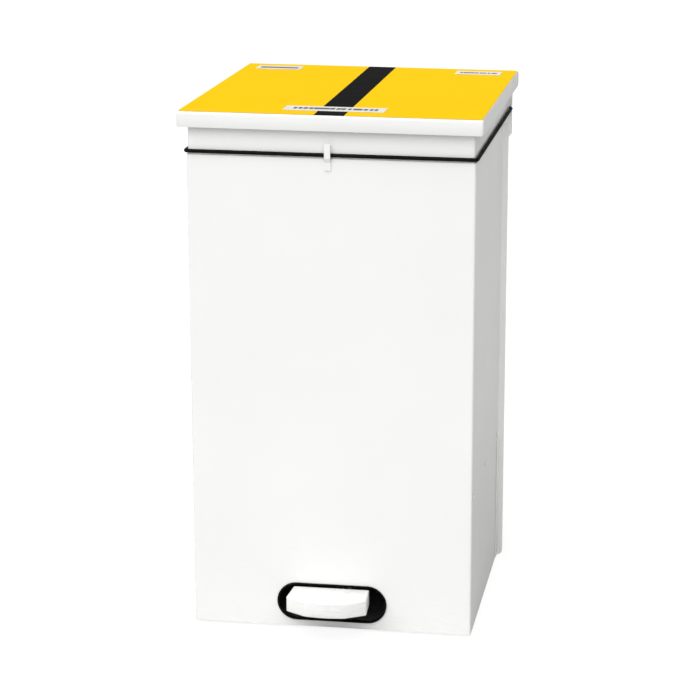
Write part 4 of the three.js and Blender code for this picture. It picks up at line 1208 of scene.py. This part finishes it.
section_info = edging_tree.nodes.new("GeometryNodeObjectInfo")
section_curve = edging_tree.nodes.new("GeometryNodeMeshToCurve")
edging_mesh = edging_tree.nodes.new("GeometryNodeCurveToMesh")
edging_smooth = edging_tree.nodes.new("GeometryNodeSetShadeSmooth")
wired(edging_tree,
      (edging_in.outputs["Width"], slot_path.inputs["Width"]),
      (edging_in.outputs["Height"], slot_path.inputs["Height"]),
      (edging_in.outputs["Height"], slot_ends.inputs["Radius"]),
      (slot_path.outputs["Curve"], slot_ends.inputs["Curve"]),
      (slot_ends.outputs["Curve"], slot_stand.inputs["Geometry"]),
      (edging_in.outputs["Place"], slot_stand.inputs["Translation"]),
      (slot_stand.outputs["Geometry"], slot_normal.inputs["Curve"]),
      (edging_in.outputs["Section"], section_info.inputs["Object"]),
      (section_info.outputs["Geometry"], section_curve.inputs["Mesh"]),
      (slot_normal.outputs["Curve"], edging_mesh.inputs["Curve"]),
      (section_curve.outputs["Curve"], edging_mesh.inputs["Profile Curve"]),
      (edging_mesh.outputs["Mesh"], edging_smooth.inputs["Geometry"]))
finished_by(edging_tree, edging_smooth.outputs["Geometry"], edging_in.outputs["Material"],
            edging_out)


def section_loop(name, corners):
    """A closed outline with rounded corners, from (x, y, radius) corners, as edges only."""
    points = []
    for i, (x, y, radius) in enumerate(corners):
        here = Vector((x, y))
        back_way = (Vector(corners[i - 1][:2]) - here).normalized()
        next_way = (Vector(corners[(i + 1) % len(corners)][:2]) - here).normalized()
        middle = here + (back_way + next_way) * radius
        for k in range(6):
            angle = k / 5 * math.pi / 2
            points.append(middle - next_way * radius * math.cos(angle)
                          - back_way * radius * math.sin(angle))
    mesh = bpy.data.meshes.new(name)
    edges = [(i, (i + 1) % len(points)) for i in range(len(points))]
    mesh.from_pydata([(point.x, point.y, 0) for point in points], edges, [])
    made = bpy.data.objects.new(name, mesh)
    scene.collection.objects.link(made)
    return made


# Across the section: first out of the front, then away from the slot's middle.
lip_front = shell_low.y - slot_low.y
lip_rear = shell_low.y - slot_high.y
air_gap = 0.3 * mm
edging_wall = 1.2 * mm
section = section_loop("edging_section", [
    (lip_front, -edging_wall, mm), (lip_rear, -edging_wall, mm),
    (lip_rear, edging_lap, 0.6 * mm), (-shell_sheet - air_gap, edging_lap, 0.3 * mm),
    (-shell_sheet - air_gap, -air_gap, 0.2 * mm), (air_gap, -air_gap, 0.2 * mm),
    (air_gap, edging_lap, 0.3 * mm), (lip_front, edging_lap, 0.6 * mm)])
edging_rubber = rubber("edging_rubber", (0.004, 0.004, 0.0045, 1), (0.012, 0.012, 0.012, 1), 0.48)
edging = run_tree(blank("slot_edging"), edging_tree, {
    "Width": 2 * slot_half_x, "Height": 2 * slot_half_z,
    "Place": (0, shell_low.y, slot_middle_z), "Section": section, "Material": edging_rubber})
bpy.data.objects.remove(section)
fitted(edging, "removable_body", edging_rubber, "black_rubber", "aperture_edging")


# ---- Band keeper ----
# A narrow strip of painted steel, joggled outwards and spot welded to the front of the body, that
# stops the rubber band from slipping down.
keeper_low, keeper_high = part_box("band_keeper")
keeper_foot = shell_low.y - 0.3 * mm - shell_sheet
band_height = band_middle.z
keeper = drawn("band_keeper_piece", folded([
    (keeper_low.y, keeper_high.z), (keeper_low.y, band_height - 4 * mm),
    (keeper_foot, band_height - 9.5 * mm), (keeper_foot, keeper_low.z)], shell_sheet, 2 * mm),
    keeper_low.x, keeper_high.x, "X")
eased(keeper, 0.35 * mm, 3)
fitted(keeper, "removable_body", body_coat, "white_painted_steel", "band_keeper")


# ---- Runners, doublers and rivets ----
# Zinc-plated angles riveted inside the body with three domed blind rivets a side, and two short
# strips spot welded over the lower rear edges. The rivets and strips are painted with the body.
for side in ("left", "right"):
    carried(f"runner_{side}", "removable_body", rail_zinc, "zinc_plated_steel", 0.25 * mm)
    carried(f"rear_doubler_{side}", "removable_body", body_coat, "white_painted_steel", 0.5 * mm, 3)
rivet_long = rivet_boxes[-1][1].x - rivet_boxes[-1][0].x
head_low = rivet_long - 1.7 * mm
rivet_shape = lathed("rivet_shape", [
    (0, 0), (2.4 * mm, 0), (3 * mm, 0.5 * mm), (3 * mm, 1.3 * mm), (2 * mm, 1.3 * mm),
    (2 * mm, head_low), (3.7 * mm, head_low), (4 * mm, head_low + 0.25 * mm),
    (3.9 * mm, head_low + 0.6 * mm), (3.2 * mm, head_low + 1.15 * mm),
    (2.2 * mm, head_low + 1.55 * mm), (1.3 * mm, rivet_long),
    (1.05 * mm, rivet_long - 0.05 * mm), (0.95 * mm, rivet_long - 0.7 * mm),
    (0, rivet_long - 0.8 * mm)], 28)
creased(rivet_shape, 42)
rivet_places = []
for low, high in rivet_boxes:
    way = math.copysign(1, low.x)
    inside = high.x if way < 0 else low.x
    rivet_places.append(((inside, (low.y + high.y) / 2, (low.z + high.z) / 2), (way, 0, 0)))
rivets = repeated("body_rivets", rivet_shape, rivet_places, body_coat)
fitted(rivets, "removable_body", body_coat, "white_painted_steel", *rivet_names)
